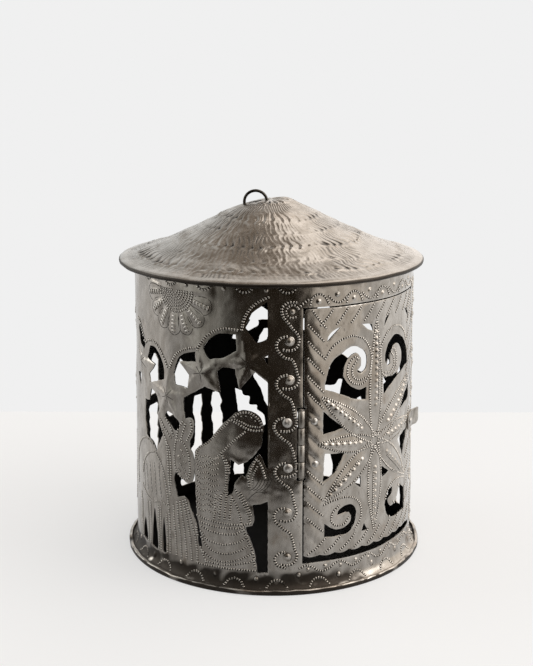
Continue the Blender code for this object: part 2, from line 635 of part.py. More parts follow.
def petal_creases():
    """The raised midribs of the poinsettia's eight petals and the valleys between them."""
    middle = (0.5, 80.0)
    tips = [(0, 145), (-33.5, 108.5), (-36, 84), (-31.5, 54), (0.5, 28.5), (31.5, 54),
            (36, 84.5), (33.5, 109)]
    creases = []
    for tip in tips:
        shoulder = tuple(0.68 * m + 0.32 * t for m, t in zip(middle, tip))
        creases.append((middle, shoulder, 0.0, PETAL_CREASE))
        creases.append((shoulder, tip, PETAL_CREASE, 0.0))
    valleys = [(-6.8, 106), (-22.3, 92), (-21.5, 77), (-10.2, 62), (6.3, 63.6), (22.6, 75.3),
               (22.7, 92), (7.3, 105.2)]
    creases += [(middle, valley, 0.0, 0.0) for valley in valleys]
    return creases


def door_panel(material):
    rivets = [*DOOR_RIVETS.values(), (LATCH_RIVET_X, LATCH_Y)]
    loops = [door_outline(), *door_cuts(), *(rivet_hole(x, y) for x, y in rivets)]
    return rolled_sheet("door_panel", loops, material, creases=petal_creases())


def base_plate(material):
    """A disc whose edge is folded up and pressed over the foot's flange."""
    floor_top = SHEET
    lip_low = SHEET + GAP + SHEET + GAP
    lip_high = lip_low + SHEET
    inner = BASE_RADIUS - SHEET
    bend = BASE_BEND
    profile = [(0, floor_top), (0, 0), (BASE_RADIUS - bend, 0), (BASE_RADIUS, bend),
               (BASE_RADIUS, lip_high - bend), (BASE_RADIUS - bend, lip_high),
               (BASE_RADIUS - BASE_LIP, lip_high), (BASE_RADIUS - BASE_LIP, lip_low),
               (inner, lip_low), (inner, floor_top)]
    return turned("base_plate", profile[1:] + profile[:1], material)


def roof_line():
    """The roof's outer face from its rounded top to the brim, as (radius, height over the brim)."""
    shares = [(0.0, 1.0), (0.07, 0.995), (0.14, 0.955), (0.25, 0.845), (0.41, 0.625), (0.57, 0.42),
              (0.73, 0.225), (0.87, 0.092), (1.0, 0.0)]
    return [(ROOF_RADIUS * r, ROOF_RISE * h) for r, h in shares]


def roof_height(radius):
    """Height of the outer face over the brim at a radius."""
    line = roof_line()
    return float(np.interp(radius, [p[0] for p in line], [p[1] for p in line]))


def roof_under_line():
    """The roof's underside inside the hem, with every second point of the outer face."""
    edge = ROOF_RADIUS - ROOF_HEM_WIDTH
    inner = [(r, h - ROOF_DEPTH * SHEET) for r, h in roof_line()[::2] if r < edge]
    return inner + [(edge, roof_height(edge) - ROOF_DEPTH * SHEET)]


def roof_under(radius):
    """Height of the underside over the brim at a radius."""
    line = roof_under_line()
    return float(np.interp(radius, [p[0] for p in line], [p[1] for p in line]))


def roof_base():
    """World height of the brim: the roof's underside rests on the wall's top edge."""
    return WALL_HEIGHT + GAP - roof_under(WALL_TOP_RADIUS + ROOF_SHIFT + SHEET)


def roof_centre():
    bearing = math.radians(LOOP_BEARING)
    return Vector((math.sin(bearing), -math.cos(bearing), 0)) * ROOF_SHIFT


def loop_place():
    """Where the loop's middle stands, and the level line along which its two legs stand."""
    bearing = math.radians(LOOP_BEARING)
    along = Vector((math.sin(bearing), -math.cos(bearing), 0))
    return roof_centre() + along * LOOP_OFFSET, along


def roof_cone(material):
    """The roof: a dished cone with its edge turned under in a flat hem."""
    outer = roof_line()
    hem = [(ROOF_RADIUS - 0.8 * ROOF_HEM_WIDTH, -ROOF_HEM),
           (ROOF_RADIUS - HEM_BEND, -ROOF_HEM), (ROOF_RADIUS, -ROOF_HEM + HEM_BEND),
           (ROOF_RADIUS, -HEM_BEND)]
    rim = [(ROOF_RADIUS - HEM_BEND, outer[-1][1])]
    profile = roof_under_line() + hem + rim + outer[-2::-1]
    roof = turned("roof_cone", profile, material)
    roof.location = roof_centre() + Vector((0, 0, roof_base()))
    middle, along = loop_place()
    for side, label in ((-1, "left"), (1, "right")):
        place = middle + along * side * (LOOP_WIDTH - LOOP_WIRE) / 2
        cutter = turned(f"loop_hole_{label}", [(0, 0), (LOOP_WIRE / 2 + GAP, 0),
                        (LOOP_WIRE / 2 + GAP, 2 * ROOF_RISE), (0, 2 * ROOF_RISE)], material, 12)
        cutter.location = place + Vector((0, 0, roof_base() - ROOF_RISE / 2))
        cutter.hide_render = True
        cutter.display_type = "WIRE"
        hole = roof.modifiers.new(f"loop_hole_{label}", "BOOLEAN")
        hole.object = cutter
        hole.solver = "EXACT"
    return roof


def hanging_loop(material):
    """A bent wire: both legs pass through the roof and are bent outward under it."""
    middle, along = loop_place()
    half = (LOOP_WIDTH - LOOP_WIRE) / 2
    surface = roof_base() + roof_height(LOOP_OFFSET)

    def under(x):
        return roof_base() + roof_under(abs(LOOP_OFFSET + x)) - GAP - LOOP_CLEAR * LOOP_WIRE

    crown = surface + LOOP_STAND - LOOP_WIRE / 2
    spring = crown - half * LOOP_ROUND
    bend = LOOP_WIRE / 2
    left = [-half - LOOP_CLINCH, -half - bend]
    path = [(x, under(x)) for x in left] + [(-half, under(-half) + bend)]
    arc = [math.pi * i / 10 for i in range(11)]
    path += [(-half * math.cos(a), spring + (crown - spring) * math.sin(a)) for a in arc]
    path += [(half, under(half) + bend)] + [(-x, under(-x)) for x in left[::-1]]
    curve = bpy.data.curves.new("hanging_loop", "CURVE")
    curve.dimensions = "3D"
    curve.bevel_depth = LOOP_WIRE / 2
    curve.bevel_resolution = 2
    curve.use_fill_caps = True
    spline = curve.splines.new("POLY")
    spline.points.add(len(path) - 1)
    for point, (x, z) in zip(spline.points, path):
        spot = middle + along * x
        point.co = (spot.x, spot.y, z, 1.0)
    curve.materials.append(material)
    obj = bpy.data.objects.new("hanging_loop", curve)
    bpy.context.collection.objects.link(obj)
    return obj


def hinge_leaf(name, side, rivets, odd, material):
    """A leaf behind its sheet, joined to the knuckles that it carries: side is -1 or 1."""
    half = hinge_half_height()
    pitch = 2 * half / 4
    near = HINGE_X + side * mm(BARREL_RADIUS + GAP)
    root = HINGE_X + side * mm(PIN_RADIUS + GAP) * LEAF_ROOT
    far = HINGE_X + side * LEAF_REACH
    bottom, top = HINGE_Y - half, HINGE_Y + half
    edge = [(far, bottom), (near, bottom)]
    for i in range(4):
        if i % 2 == odd:
            low = bottom + i * pitch + mm(GAP) / 2
            high = bottom + (i + 1) * pitch - mm(GAP) / 2
            edge += [(near, low), (root, low), (root, high), (near, high)]
    edge += [(near, top), (far, top)]
    edge = list(dict.fromkeys(edge))
    holes = [rivet_hole(x, y) for x, y in rivets.values()]
    leaf = rolled_sheet(name, [edge, *holes], material, top=SHEET + GAP, thick=LEAF)
    axis = hinge_axis()
    for i in range(4):
        if i % 2 != odd:
            continue
        knuckle = barrel_ring(f"{name}_knuckle_{i}", i, axis, material)
        knuckle.hide_render = True
        knuckle.display_type = "WIRE"
        join = leaf.modifiers.new(f"knuckle_{i}", "BOOLEAN")
        join.operation = "UNION"
        join.object = knuckle
        join.solver = "EXACT"
    return leaf


def hinge_axis():
    """The bottom of the barrel's axis, its direction and its length. It follows the wall's taper."""
    half = hinge_half_height()
    depth = LEAF_BACK - BARREL_RADIUS
    bottom = on_wall(HINGE_X, HINGE_Y - half, depth)
    top = on_wall(HINGE_X, HINGE_Y + half, depth)
    return bottom, (top - bottom).normalized(), (top - bottom).length


def barrel_ring(name, index, axis, material):
    """One knuckle of the barrel."""
    bottom, up, length = axis
    pitch = length / 4
    low, high = GAP / 2, pitch - GAP / 2
    bore = PIN_RADIUS + GAP
    ring = turned(name, [(bore, low), (BARREL_RADIUS, low), (BARREL_RADIUS, high), (bore, high)],
                  material, BARREL_SIDES)
    ring.matrix_world = (Matrix.Translation(bottom + up * pitch * index)
                         @ up.to_track_quat("Z", "Y").to_matrix().to_4x4())
    return ring


def hinge_pin(material):
    bottom, up, length = hinge_axis()
    head = PIN_RADIUS + PIN_RIM
    pin = turned("hinge_pin", [(0, -GAP - PIN_CAP), (head, -GAP - PIN_CAP * 0.6), (head, -GAP),
                 (PIN_RADIUS, -GAP), (PIN_RADIUS, length + GAP), (head, length + GAP),
                 (head, length + GAP + PIN_CAP * 0.6), (0, length + GAP + PIN_CAP)],
                 material, BARREL_SIDES)
    pin.matrix_world = Matrix.Translation(bottom) @ up.to_track_quat("Z", "Y").to_matrix().to_4x4()
    return pin


def latch_tab(material):
    """A pull tab riveted on the door's free edge: it laps the frame and its end lifts off."""
    low, high = LATCH_Y - LATCH_HEIGHT / 2, LATCH_Y + LATCH_HEIGHT / 2
    outline = cut([(LATCH_START, low + 1.2), (LATCH_START + 1.2, low)],
                  [(LATCH_START + 1.2, low), (LATCH_END - 3, low)],
                  [(LATCH_END - 3, low), (LATCH_END - 0.8, low + 1.5), (LATCH_END, LATCH_Y)],
                  [(LATCH_END, LATCH_Y), (LATCH_END - 0.3, high - 0.5), (LATCH_END - 2, high)],
                  [(LATCH_END - 2, high), (LATCH_START + 1.2, high)],
                  [(LATCH_START + 1.2, high), (LATCH_START, high - 1.2)])
    bends = [[(x, low - 1), (x, high + 1)] for x in np.linspace(LATCH_LIFT, LATCH_END, 5)[:-1]]
    return rolled_sheet("latch_tab", [outline, rivet_hole(LATCH_RIVET_X, LATCH_Y)], material,
                        on_latch, top=-GAP - TAB, thick=TAB, lines=bends)


def hinge_body(pieces):
    """An empty on the hinge's axis that carries what swings."""
    bottom, up, _ = hinge_axis()
    empty = bpy.data.objects.new("door_swing", None)
    bpy.context.collection.objects.link(empty)
    empty.matrix_world = Matrix.Translation(bottom) @ up.to_track_quat("Z", "Y").to_matrix().to_4x4()
    bpy.context.view_layer.update()
    for piece in pieces:
        piece.parent = empty
        piece.matrix_parent_inverse = empty.matrix_world.inverted()


def main():
    clear_scene()
    sheet = steel("chased_steel", (0.235, 0.215, 0.195), 0.42)
    roofing = steel("hammered_steel", (0.245, 0.228, 0.208), 0.45)
    hinge = steel("hinge_steel", (0.30, 0.285, 0.265), 0.38)
    studs = steel("rivet_steel", (0.36, 0.345, 0.325), 0.32)
    wire = steel("wire_steel", (0.14, 0.13, 0.12), 0.40)

    wall_shell(sheet)
    base_plate(roofing)
    roof_cone(roofing)
    hanging_loop(wire)
    hinge_leaf("hinge_leaf_frame", -1, FRAME_RIVETS, 0, hinge)
    hinge_pin(hinge)
    for label, (x, y) in FRAME_RIVETS.items():
        rivet(f"rivet_frame_{label}", x, y, FRAME_RIVET_HEAD, 0.0, LEAF_BACK, studs)
    for i, y in enumerate(SEAM_RIVETS, 1):
        rivet(f"rivet_seam_{i}", SEAM_X + SEAM_LAP / 2, y, DOOR_RIVET_HEAD, SHEET + GAP, SHEET, studs)

    swinging = [door_panel(sheet), hinge_leaf("hinge_leaf_door", 1, DOOR_RIVETS, 1, hinge),
                latch_tab(hinge)]
    for label, (x, y) in DOOR_RIVETS.items():
        swinging.append(rivet(f"rivet_door_{label}", x, y, DOOR_RIVET_HEAD, 0.0, LEAF_BACK, studs))
    swinging.append(rivet("rivet_latch", LATCH_RIVET_X, LATCH_Y, DOOR_RIVET_HEAD, GAP + TAB,
                          SHEET, studs))
    hinge_body(swinging)


main()
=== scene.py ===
"""The looks of a pierced and chased steel candle lantern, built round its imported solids.

The sheets are drawn flat in millimetres, x round the drum to the right from the middle of the door
and y upward, and are then rolled. World units are metres; the door faces -Y and +Z is up.
"""

import logging
import math
from collections.abc import Callable, Iterable
from dataclasses import dataclass, field
from enum import Enum

import bpy
import numpy as np
from mathutils import Matrix, Vector
from mathutils.geometry import delaunay_2d_cdt
from mathutils.kdtree import KDTree


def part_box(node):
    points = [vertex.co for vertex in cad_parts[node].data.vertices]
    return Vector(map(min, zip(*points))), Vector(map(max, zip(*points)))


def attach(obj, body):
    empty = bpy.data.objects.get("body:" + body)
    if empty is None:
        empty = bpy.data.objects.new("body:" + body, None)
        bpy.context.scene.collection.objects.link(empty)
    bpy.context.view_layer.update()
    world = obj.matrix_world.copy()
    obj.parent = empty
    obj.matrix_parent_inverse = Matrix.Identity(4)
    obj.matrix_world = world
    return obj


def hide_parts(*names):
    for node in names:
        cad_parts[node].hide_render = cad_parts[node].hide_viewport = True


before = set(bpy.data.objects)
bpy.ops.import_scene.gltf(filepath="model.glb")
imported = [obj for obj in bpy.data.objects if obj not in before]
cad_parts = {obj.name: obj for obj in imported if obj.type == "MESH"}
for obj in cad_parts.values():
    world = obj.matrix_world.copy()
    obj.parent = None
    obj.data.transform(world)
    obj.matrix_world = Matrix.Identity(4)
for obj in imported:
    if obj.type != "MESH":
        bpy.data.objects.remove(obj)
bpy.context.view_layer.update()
LOG = logging.getLogger("lantern")

Array = np.ndarray
Material = bpy.types.Material
Object = bpy.types.Object
Point = tuple[float, float]
Colour = tuple[float, float, float]
Field = Callable[[Array, Array], Array]
Run = list[Point]
Outline = list[Point]
Place = Callable[[float, float, float], Vector]

MM = 0.001
SHEET_MM = 0.8
DRUM_MM = 80.0
TURN_MM = 2 * math.pi * DRUM_MM
DRAWN_HEIGHT = 174.0
FOOT_LINE = 10.0
HINGE_X = -46.0
HINGE_Y = 84.5
NOTCH = 20.55
DOOR_HALF = 44.5
RIDGE_STEP = 1.2
BODY = "lantern"
DOOR = "door"


class Slot(Enum):
    """The record's material slots."""

    CHASED = "chased_steel"
    HAMMERED = "hammered_steel"
    HINGE = "hinge_steel"
    RIVET = "rivet_steel"
    WIRE = "wire_steel"


class Punch(Enum):
    """The punches: pitch along the line, size along it, size across it and height, in mm."""

    RIB = (1.50, 0.84, 1.52, 0.42)
    BEAD = (1.40, 0.82, 1.20, 0.34)
    DOT = (1.24, 0.72, 0.94, 0.32)
    FOLD = (2.2, 1.1, 0.5, 0.16)
    BAR = (1.9, 0.95, 2.7, 0.46)


# Shader maths


class Wire:
    """One socket of a node tree, with the arithmetic that the finishes use."""

    def __init__(self, graph: "Graph", socket: bpy.types.NodeSocket) -> None:
        """Keeps the socket and the graph that it belongs to."""
        self.graph = graph
        self.socket = socket

    def _math(self, operation: str, first: object, second: object = 0.0) -> "Wire":
        """Adds one Math node."""
        return self.graph.add("Math", {"operation": operation}, {0: first, 1: second})

    def __add__(self, other: object) -> "Wire":
        """Sum."""
        return self._math("ADD", self, other)

    __radd__ = __add__

    def __sub__(self, other: object) -> "Wire":
        """Difference."""
        return self._math("SUBTRACT", self, other)

    def __rsub__(self, other: object) -> "Wire":
        """Difference, reflected."""
        return self._math("SUBTRACT", other, self)

    def __mul__(self, other: object) -> "Wire":
        """Product."""
        return self._math("MULTIPLY", self, other)

    __rmul__ = __mul__

    def clamped(self) -> "Wire":
        """The value held between 0 and 1."""
        return self.graph.add("Math", {"operation": "ADD", "use_clamp": True}, {0: self, 1: 0.0})


class Graph:
    """A node tree under construction."""

    def __init__(self, tree: bpy.types.NodeTree) -> None:
        """Empties the tree."""
        self.tree = tree
        tree.nodes.clear()

    def add(self, kind: str, settings: dict | None = None, inputs: dict | None = None,
            output: int | str = 0) -> Wire:
        """Adds a node.

        Args:
            kind: the node's type, without the "ShaderNode" that every type starts with.
            settings: its properties, set before its inputs.
            inputs: values or wires by socket name or index. A colour gets full alpha.
            output: the socket that the wire stands for.

        Returns:
            The wire on that output.
        """
        node = self.tree.nodes.new("ShaderNode" + kind)
        for name, value in (settings or {}).items():
            setattr(node, name, value)
        for key, value in (inputs or {}).items():
            socket = node.inputs[key]
            if isinstance(value, Wire):
                self.tree.links.new(value.socket, socket)
            else:
                socket.default_value = (*value, 1.0) if socket.type == "RGBA" else value
        return Wire(self, node.outputs[output]) if node.outputs else None

    def read(self, kind: str, output: str) -> Wire:
        """Adds a node that only reads something of the point being shaded."""
        return self.add(kind, None, None, output)

    def toward(self, where: Wire, axis: Vector) -> Wire:
        """How far a place or a direction reaches along an axis."""
        return self.add("VectorMath", {"operation": "DOT_PRODUCT"},
                        {0: where, 1: tuple(axis)}, "Value")

    def mix(self, share: object, low: object, high: object) -> Wire:
        """Mixes two colours."""
        return self.add("Mix", {"data_type": "RGBA"}, {0: share, 6: low, 7: high}, 2)

    def noise(self, where: Wire, scale: float, detail: float, rough: float = 0.55,
              warp: float = 0.0) -> Wire:
        """A noise value at a scale per metre."""
        return self.add("TexNoise", None, {
            "Vector": where, "Scale": scale, "Detail": detail, "Roughness": rough,
            "Distortion": warp})

    def between(self, value: Wire, low: float, high: float) -> Wire:
        """The value stretched so that low becomes 0 and high becomes 1, held between them."""
        return self.add("MapRange", {"interpolation_type": "SMOOTHSTEP"}, {
            "Value": value, "From Min": low, "From Max": high})


def new_material(name: str) -> tuple[Material, Graph]:
    """Makes a material and the empty graph that its nodes go into."""
    material = bpy.data.materials.new(name)
    material.use_nodes = True
    return material, Graph(material.node_tree)


@dataclass(frozen=True)
class SteelFinish:
    """Aged bare steel: a mottled base, browner where it has oxidised, light where rubbing shows, with
    painted highlights and painted shade mixed in from a vertex attribute.
    """

    name: str
    light: Colour
    dark: Colour
    oxide: Colour
    rubbed_and_highlight: Colour
    grime_and_shade: Colour = (0.020, 0.015, 0.011)
    roughness: float = 0.20
    spread: float = 0.10
    metal: float = 0.985
    oxide_low: float = 0.52
    oxide_high: float = 0.70
    patch_scale: float = 34.0
    mottle_scale: float = 170.0
    fine_scale: float = 900.0
    pit_depth: float = 0.00004
    stretch: tuple[float, float, float] = (1.0, 1.0, 1.0)

    def build(self) -> Material:
        """Makes the material.

        Returns:
            The material. It reads a vertex attribute: 1 is light from rubbing and painted highlight, -1
            is dark from dirt and painted shade.
        """
        material, graph = new_material(self.name)
        place = graph.read("TexCoord", "Object")
        grain = graph.add("Mapping", None, {"Vector": place, "Scale": self.stretch})
        patches = graph.noise(place, self.patch_scale, 6.0, 0.62, 0.6)
        mottle = graph.noise(grain, self.mottle_scale, 4.0, 0.60, 0.3)
        fine = graph.noise(grain, self.fine_scale, 3.0)
        wear_and_shading = graph.add("Attribute", {"attribute_name": "wear_and_shading"}, None, "Fac")
        base = graph.mix(graph.between(mottle, 0.33, 0.67), self.dark, self.light)
        rust = graph.between(patches * 0.62 + mottle * 0.38, self.oxide_low, self.oxide_high)
        base = graph.mix(rust * 0.75, base, self.oxide)
        speck = graph.between(fine, 0.57, 0.76)
        base = graph.mix(speck * 0.55, base, tuple(0.4 * c for c in self.dark))
        # Painted highlight and rubbing: positive values mix towards the light colour.
        rub_and_highlight = graph.between(wear_and_shading + (fine - 0.5) * 0.7, 0.25, 0.95)
        base = graph.mix(rub_and_highlight * 0.85, base, self.rubbed_and_highlight)
        # Painted shade and dirt: negative values mix towards the near-black colour.
        dirt_and_shade = graph.between(0.0 - wear_and_shading + (mottle - 0.5) * 0.5, 0.10, 0.75)
        base = graph.mix(dirt_and_shade * 0.94, base, self.grime_and_shade)
        rough = (self.roughness + (mottle - 0.5) * self.spread + rust * 0.14 + rub_and_highlight * 0.05
                 + dirt_and_shade * 0.25 + (fine - 0.5) * 0.06).clamped()
        relief = graph.add("Bump", None, {
            "Strength": 0.5, "Distance": self.pit_depth, "Height": mottle * 1.6 + fine * 0.6})
        shader = graph.add("BsdfPrincipled", None, {
            "Base Color": base, "Roughness": rough, "Metallic": self.metal, "Normal": relief})
        graph.add("OutputMaterial", None, {"Surface": shader})
        return material


@dataclass(frozen=True)
class InsideShadeFinish:
    """The sheet's inner face: near-black, painted shade for the unlit inside of the lantern, with faint
    mottling.
    """

    name: str = "inside_shade_steel"

    def build(self) -> Material:
        """Makes the material."""
        material, graph = new_material(self.name)
        place = graph.read("TexCoord", "Object")
        cloud = graph.noise(place, 60.0, 5.0, 0.6)
        # Painted shade: almost black, whatever light reaches inside.
        colour = graph.mix(cloud, (0.0035, 0.0032, 0.0030), (0.0150, 0.0130, 0.0110))
        shader = graph.add("BsdfPrincipled", None, {
            "Base Color": colour, "Roughness": 0.62 + (cloud - 0.5) * 0.3, "Metallic": 0.0,
            "Specular IOR Level": 0.12})
        graph.add("OutputMaterial", None, {"Surface": shader})
        return material


class Finishes:
    """Every material, made once."""

    def __init__(self) -> None:
        """Builds the finishes from the steel's own colours, with near-black painted shade for the inner
        faces and the graver lines.
        """
        self.sheet = SteelFinish(
            "chased_sheet_steel", (0.490, 0.455, 0.412), (0.340, 0.308, 0.270),
            (0.240, 0.185, 0.135), (0.700, 0.660, 0.605), stretch=(1.0, 1.0, 0.45)).build()
        self.roof = SteelFinish(
            "hammered_roof_steel", (0.520, 0.482, 0.440), (0.350, 0.316, 0.278),
            (0.250, 0.192, 0.140), (0.720, 0.680, 0.625), roughness=0.21, spread=0.12).build()
        # Near-black finish for the graver lines: painted shade standing in for the shade inside traced
        # grooves and creases.
        self.line = SteelFinish(
            "graver_line_shade", (0.060, 0.052, 0.045), (0.030, 0.026, 0.022),
            (0.040, 0.030, 0.022), (0.120, 0.105, 0.090), roughness=0.6).build()
        self.hinge = SteelFinish(
            "hinge_zinc_steel", (0.470, 0.440, 0.400), (0.220, 0.198, 0.172),
            (0.180, 0.130, 0.090), (0.700, 0.670, 0.630), roughness=0.36,
            patch_scale=120.0).build()
        self.rivet = SteelFinish(
            "rivet_head_steel", (0.480, 0.455, 0.425), (0.260, 0.240, 0.215),
            (0.160, 0.120, 0.090), (0.720, 0.695, 0.660), roughness=0.33,
            patch_scale=200.0).build()
        self.wire = SteelFinish(
            "loop_wire_steel", (0.090, 0.080, 0.068), (0.035, 0.030, 0.025),
            (0.060, 0.044, 0.030), (0.300, 0.280, 0.255), roughness=0.30,
            patch_scale=150.0).build()
        self.inside_shade = InsideShadeFinish().build()


# The flat drawing


def smooth(points: Run, step: float) -> Run:
    """A smooth run through the points, without its last point.

    Args:
        points: the points that the run passes through.
        step: the spacing along it, in millimetres.

    Returns:
        Points of a Catmull-Rom curve.
    """
    run = [np.array(p, float) for p in points]
    if len(run) > 2:
        run = [2 * run[0] - run[1], *run, 2 * run[-1] - run[-2]]
    else:
        run = [run[0], run[0], run[1], run[1]]
    straight = len(points) == 2
    drawn = []
    for before, start, end, after in zip(run, run[1:], run[2:], run[3:]):
        pieces = max(1, round(float(np.linalg.norm(end - start)) / step))
        for i in range(pieces):
            t = i / pieces
            if straight:
                point = start + (end - start) * t
            else:
                point = 0.5 * (2 * start + (end - before) * t
                               + (2 * before - 5 * start + 4 * end - after) * t**2
                               + (3 * start - before - 3 * end + after) * t**3)
            drawn.append((float(point[0]), float(point[1])))
    return drawn


def cut(*parts: Point | Run, step: float = 1.3) -> Outline:
    """A closed outline whose parts meet at corners.

    Args:
        parts: a point is reached straight from where the part before it ends, and a list of
            points by a smooth run. The first part only says where the outline starts, or runs on.
        step: the spacing of the drawn points, in millimetres.

    Returns:
        The drawn points, without the first again at the end.
    """
    outline, here = [], []
    for part in parts:
        run = here + (part if isinstance(part, list) else [part])
        if len(run) > 1:
            outline += smooth(run, step)
        here = run[-1:]
    last = tuple(float(v) for v in here[0])
    if math.dist(last, outline[0]) > 0.05:
        outline.append(last)
    return outline


def circle(x: float, y: float, radius: float, sides: int = 20) -> Outline:
    """A round outline."""
    turns = (2 * math.pi * i / sides for i in range(sides))
    return [(x + radius * math.cos(a), y + radius * math.sin(a)) for a in turns]


def plain(rows: Iterable) -> Run:
    """Plain points out of arrays."""
    return [(float(x), float(y)) for x, y in rows]


def moved(x: float, y: float, *points: Point) -> Run:
    """The points, moved by x and y."""
    return [(x + u, y + v) for u, v in points]


def mirrored(side: float, points: Iterable[Point]) -> Run:
    """The points as drawn on the left where side is 1, and on the right where it is -1."""
    return [(side * x, y) for x, y in points]


def rivet_holes(spots: Iterable[Point]) -> list[Outline]:
    """A hole round each rivet's shank."""
    return [circle(x, y, 1.2, 12) for x, y in spots]


def leaf(x: float, y: float, near: float, far: float, width: float, degrees: float) -> Outline:
    """A leaf-shaped opening that points away from (x, y)."""
    angle, root = math.radians(degrees), np.array((x, y))
    along = np.array((math.cos(angle), math.sin(angle)))
    across = np.array((-along[1], along[0]))
    middle = 0.45 * near + 0.55 * far
    start, end = plain(root + along * d for d in (near, far))
    left, right = plain(root + along * middle + across * w for w in (width / 2, -width / 2))
    return cut([start, right, end], [left, start])


def scalloped(x0: float, x1: float, low: float, high: float, pitch: float) -> Outline:
    """An upright slot between serrated trunks."""
    steps = max(1, round((high - low) / pitch))
    right, left = [], []
    for i in range(steps):
        y = low + (high - low) * i / steps
        right += [(x1 - 1.3, y), (x1, y + pitch * 0.7)]
        left += [(x0 + 1.3, y), (x0, y + pitch * 0.7)]
    return right + [(x1 - 1.6, high)] + [(x0 + 1.6, high)] + left[::-1]


def unit(values: Array) -> Array:
    """The values, held between 0 and 1."""
    return np.clip(values, 0.0, 1.0)


def ripple(x: Array, y: Array, size: float, seed: int) -> Array:
    """Smooth unevenness between about -1 and 1, with swells about size long."""
    waves = 14
    draw = np.random.default_rng(seed)
    total = np.zeros_like(x, dtype=float)
    for _ in range(waves):
        angle = draw.uniform(0, 2 * math.pi)
        length = size * draw.uniform(0.6, 1.7)
        phase = draw.uniform(0, 2 * math.pi)
        reach = (x * math.cos(angle) + y * math.sin(angle)) * 2 * math.pi / length
        total += np.cos(reach + phase)
    return total / math.sqrt(waves)


@dataclass
class Stroke:
    """A line of punch marks."""

    points: Run
    punch: Punch = Punch.BEAD


@dataclass
class Boss:
    """A round bump raised from behind."""

    x: float
    y: float
    radius: float = 1.9
    height: float = 0.9


@dataclass
class Chasing:
    """What is worked into one sheet: punch marks, bumps and graver lines."""

    strokes: list[Stroke] = field(default_factory=list)
    bosses: list[Boss] = field(default_factory=list)
    lines: list[Run] = field(default_factory=list)

    def dash(self, *points: Point, punch: Punch = Punch.BEAD) -> None:
        """Adds a line of marks through the points."""
        self.strokes.append(Stroke(list(points), punch))

    def stitch(self, *points: Point) -> None:
        """Adds a line of broad ribs."""
        self.strokes.append(Stroke(list(points), Punch.RIB))

    def boss(self, x: float, y: float, radius: float = 1.9, height: float = 0.9) -> None:
        """Adds a bump."""
        self.bosses.append(Boss(x, y, radius, height))

    def line(self, *points: Point) -> None:
        """Adds a graver line."""
        self.lines.append(list(points))


@dataclass
class Drum:
    """How the flat sheets are rolled. The sizes are those of the solids, in millimetres."""

    top_radius: float = 80.0
    foot_radius: float = 81.9
    height: float = 173.6
    flare: float = 10.0
    flange_radius: float = 86.2
    gap: float = 0.3
    seam: float = 66.0
    seam_lap: float = 9.0
    seam_low: float = 15.0
    seam_high: float = 163.0

    def section(self, y: float) -> tuple[float, float, float, float]:
        """The wall's outer face at height y on the drawing.

        Returns:
            Radius, height and the section's direction in radius and height.
        """
        taper = (self.top_radius - self.foot_radius) / self.height
        foot = self.foot_radius + taper * self.flare
        if y >= FOOT_LINE:
            share = (y - FOOT_LINE) / (DRAWN_HEIGHT - FOOT_LINE)
            z = self.flare + share * (self.height - self.flare)
            return self.foot_radius + taper * z, z, taper, 1.0
        flange = 2 * SHEET_MM + self.gap
        turn = (FOOT_LINE - max(y, 0.0)) / FOOT_LINE * math.pi / 2
        out = self.flange_radius - foot
        r = foot + out * (1 - math.cos(turn))
        z = flange + (self.flare - flange) * (1 - math.sin(turn))
        return r, z, -out * math.sin(turn), (self.flare - flange) * math.cos(turn)

    def on_wall(self, x: float, y: float, depth: float) -> Vector:
        """The rolled place of a point, depth inward from the outer face, in metres."""
        r, z, dr, dz = self.section(y)
        length = math.hypot(dr, dz)
        r -= dz / length * depth
        z += dr / length * depth
        angle = x / DRUM_MM
        return Vector((r * math.sin(angle), -r * math.cos(angle), z)) * MM

    def seam_step(self, x: float, y: float) -> float:
        """How far the sheet steps outward to lap over its other end."""
        across = min(max((x - (self.seam - 3.0)) / 2.0, 0.0), 1.0)
        low = min(max((y - FOOT_LINE) / (self.seam_low - FOOT_LINE), 0.0), 1.0)
        ceiling = DRAWN_HEIGHT - 5.0
        high = min(max((ceiling - y) / (ceiling - self.seam_high), 0.0), 1.0)
        return (SHEET_MM + self.gap) * across * min(low, high)

    def on_sheet(self, x: float, y: float, depth: float) -> Vector:
        """The rolled place on the wall's own sheet, with its lapped seam."""
        return self.on_wall(x, y, depth - self.seam_step(x, y))

    def frame_at(self, x: float, y: float) -> Matrix:
        """A matrix on the outer face whose +Z points straight out."""
        origin = self.on_wall(x, y, 0.0)
        out = (origin - self.on_wall(x, y, 1.0)).normalized()
        up = (self.on_wall(x, y + 1, 0.0) - origin).normalized()
        side = up.cross(out).normalized()
        turned = Matrix((side, out.cross(side), out)).transposed().to_4x4()
        return Matrix.Translation(origin) @ turned


# Meshes


def mesh_object(name: str, points: Iterable, faces: Iterable, materials: list,
                smooth_angle: float = 40.0) -> Object:
    """Makes a shaded object.

    Args:
        name: the piece's name.
        points: its vertices in metres.
        faces: their indices.
        materials: its material slots.
        smooth_angle: edges sharper than this, in degrees, stay sharp.

    Returns:
        The object, linked to the scene.
    """
    mesh = bpy.data.meshes.new(name)
    mesh.from_pydata([tuple(p) for p in points], [], [tuple(int(i) for i in f) for f in faces])
    mesh.validate()
    for material in materials:
        mesh.materials.append(material)
    mesh.shade_smooth()
    mesh.set_sharp_from_angle(angle=math.radians(smooth_angle))
    return new_object(name, mesh)


def new_object(name: str, data: bpy.types.ID) -> Object:
    """Makes an object and links it to the scene."""
    obj = bpy.data.objects.new(name, data)
    bpy.context.scene.collection.objects.link(obj)
    return obj


def ring_faces(low: int, high: int, count: int) -> list[tuple[int, ...]]:
    """The faces between two rings of vertices, by the index that each ring starts at."""
    return [(low + i, low + (i + 1) % count, high + (i + 1) % count, high + i)
            for i in range(count)]


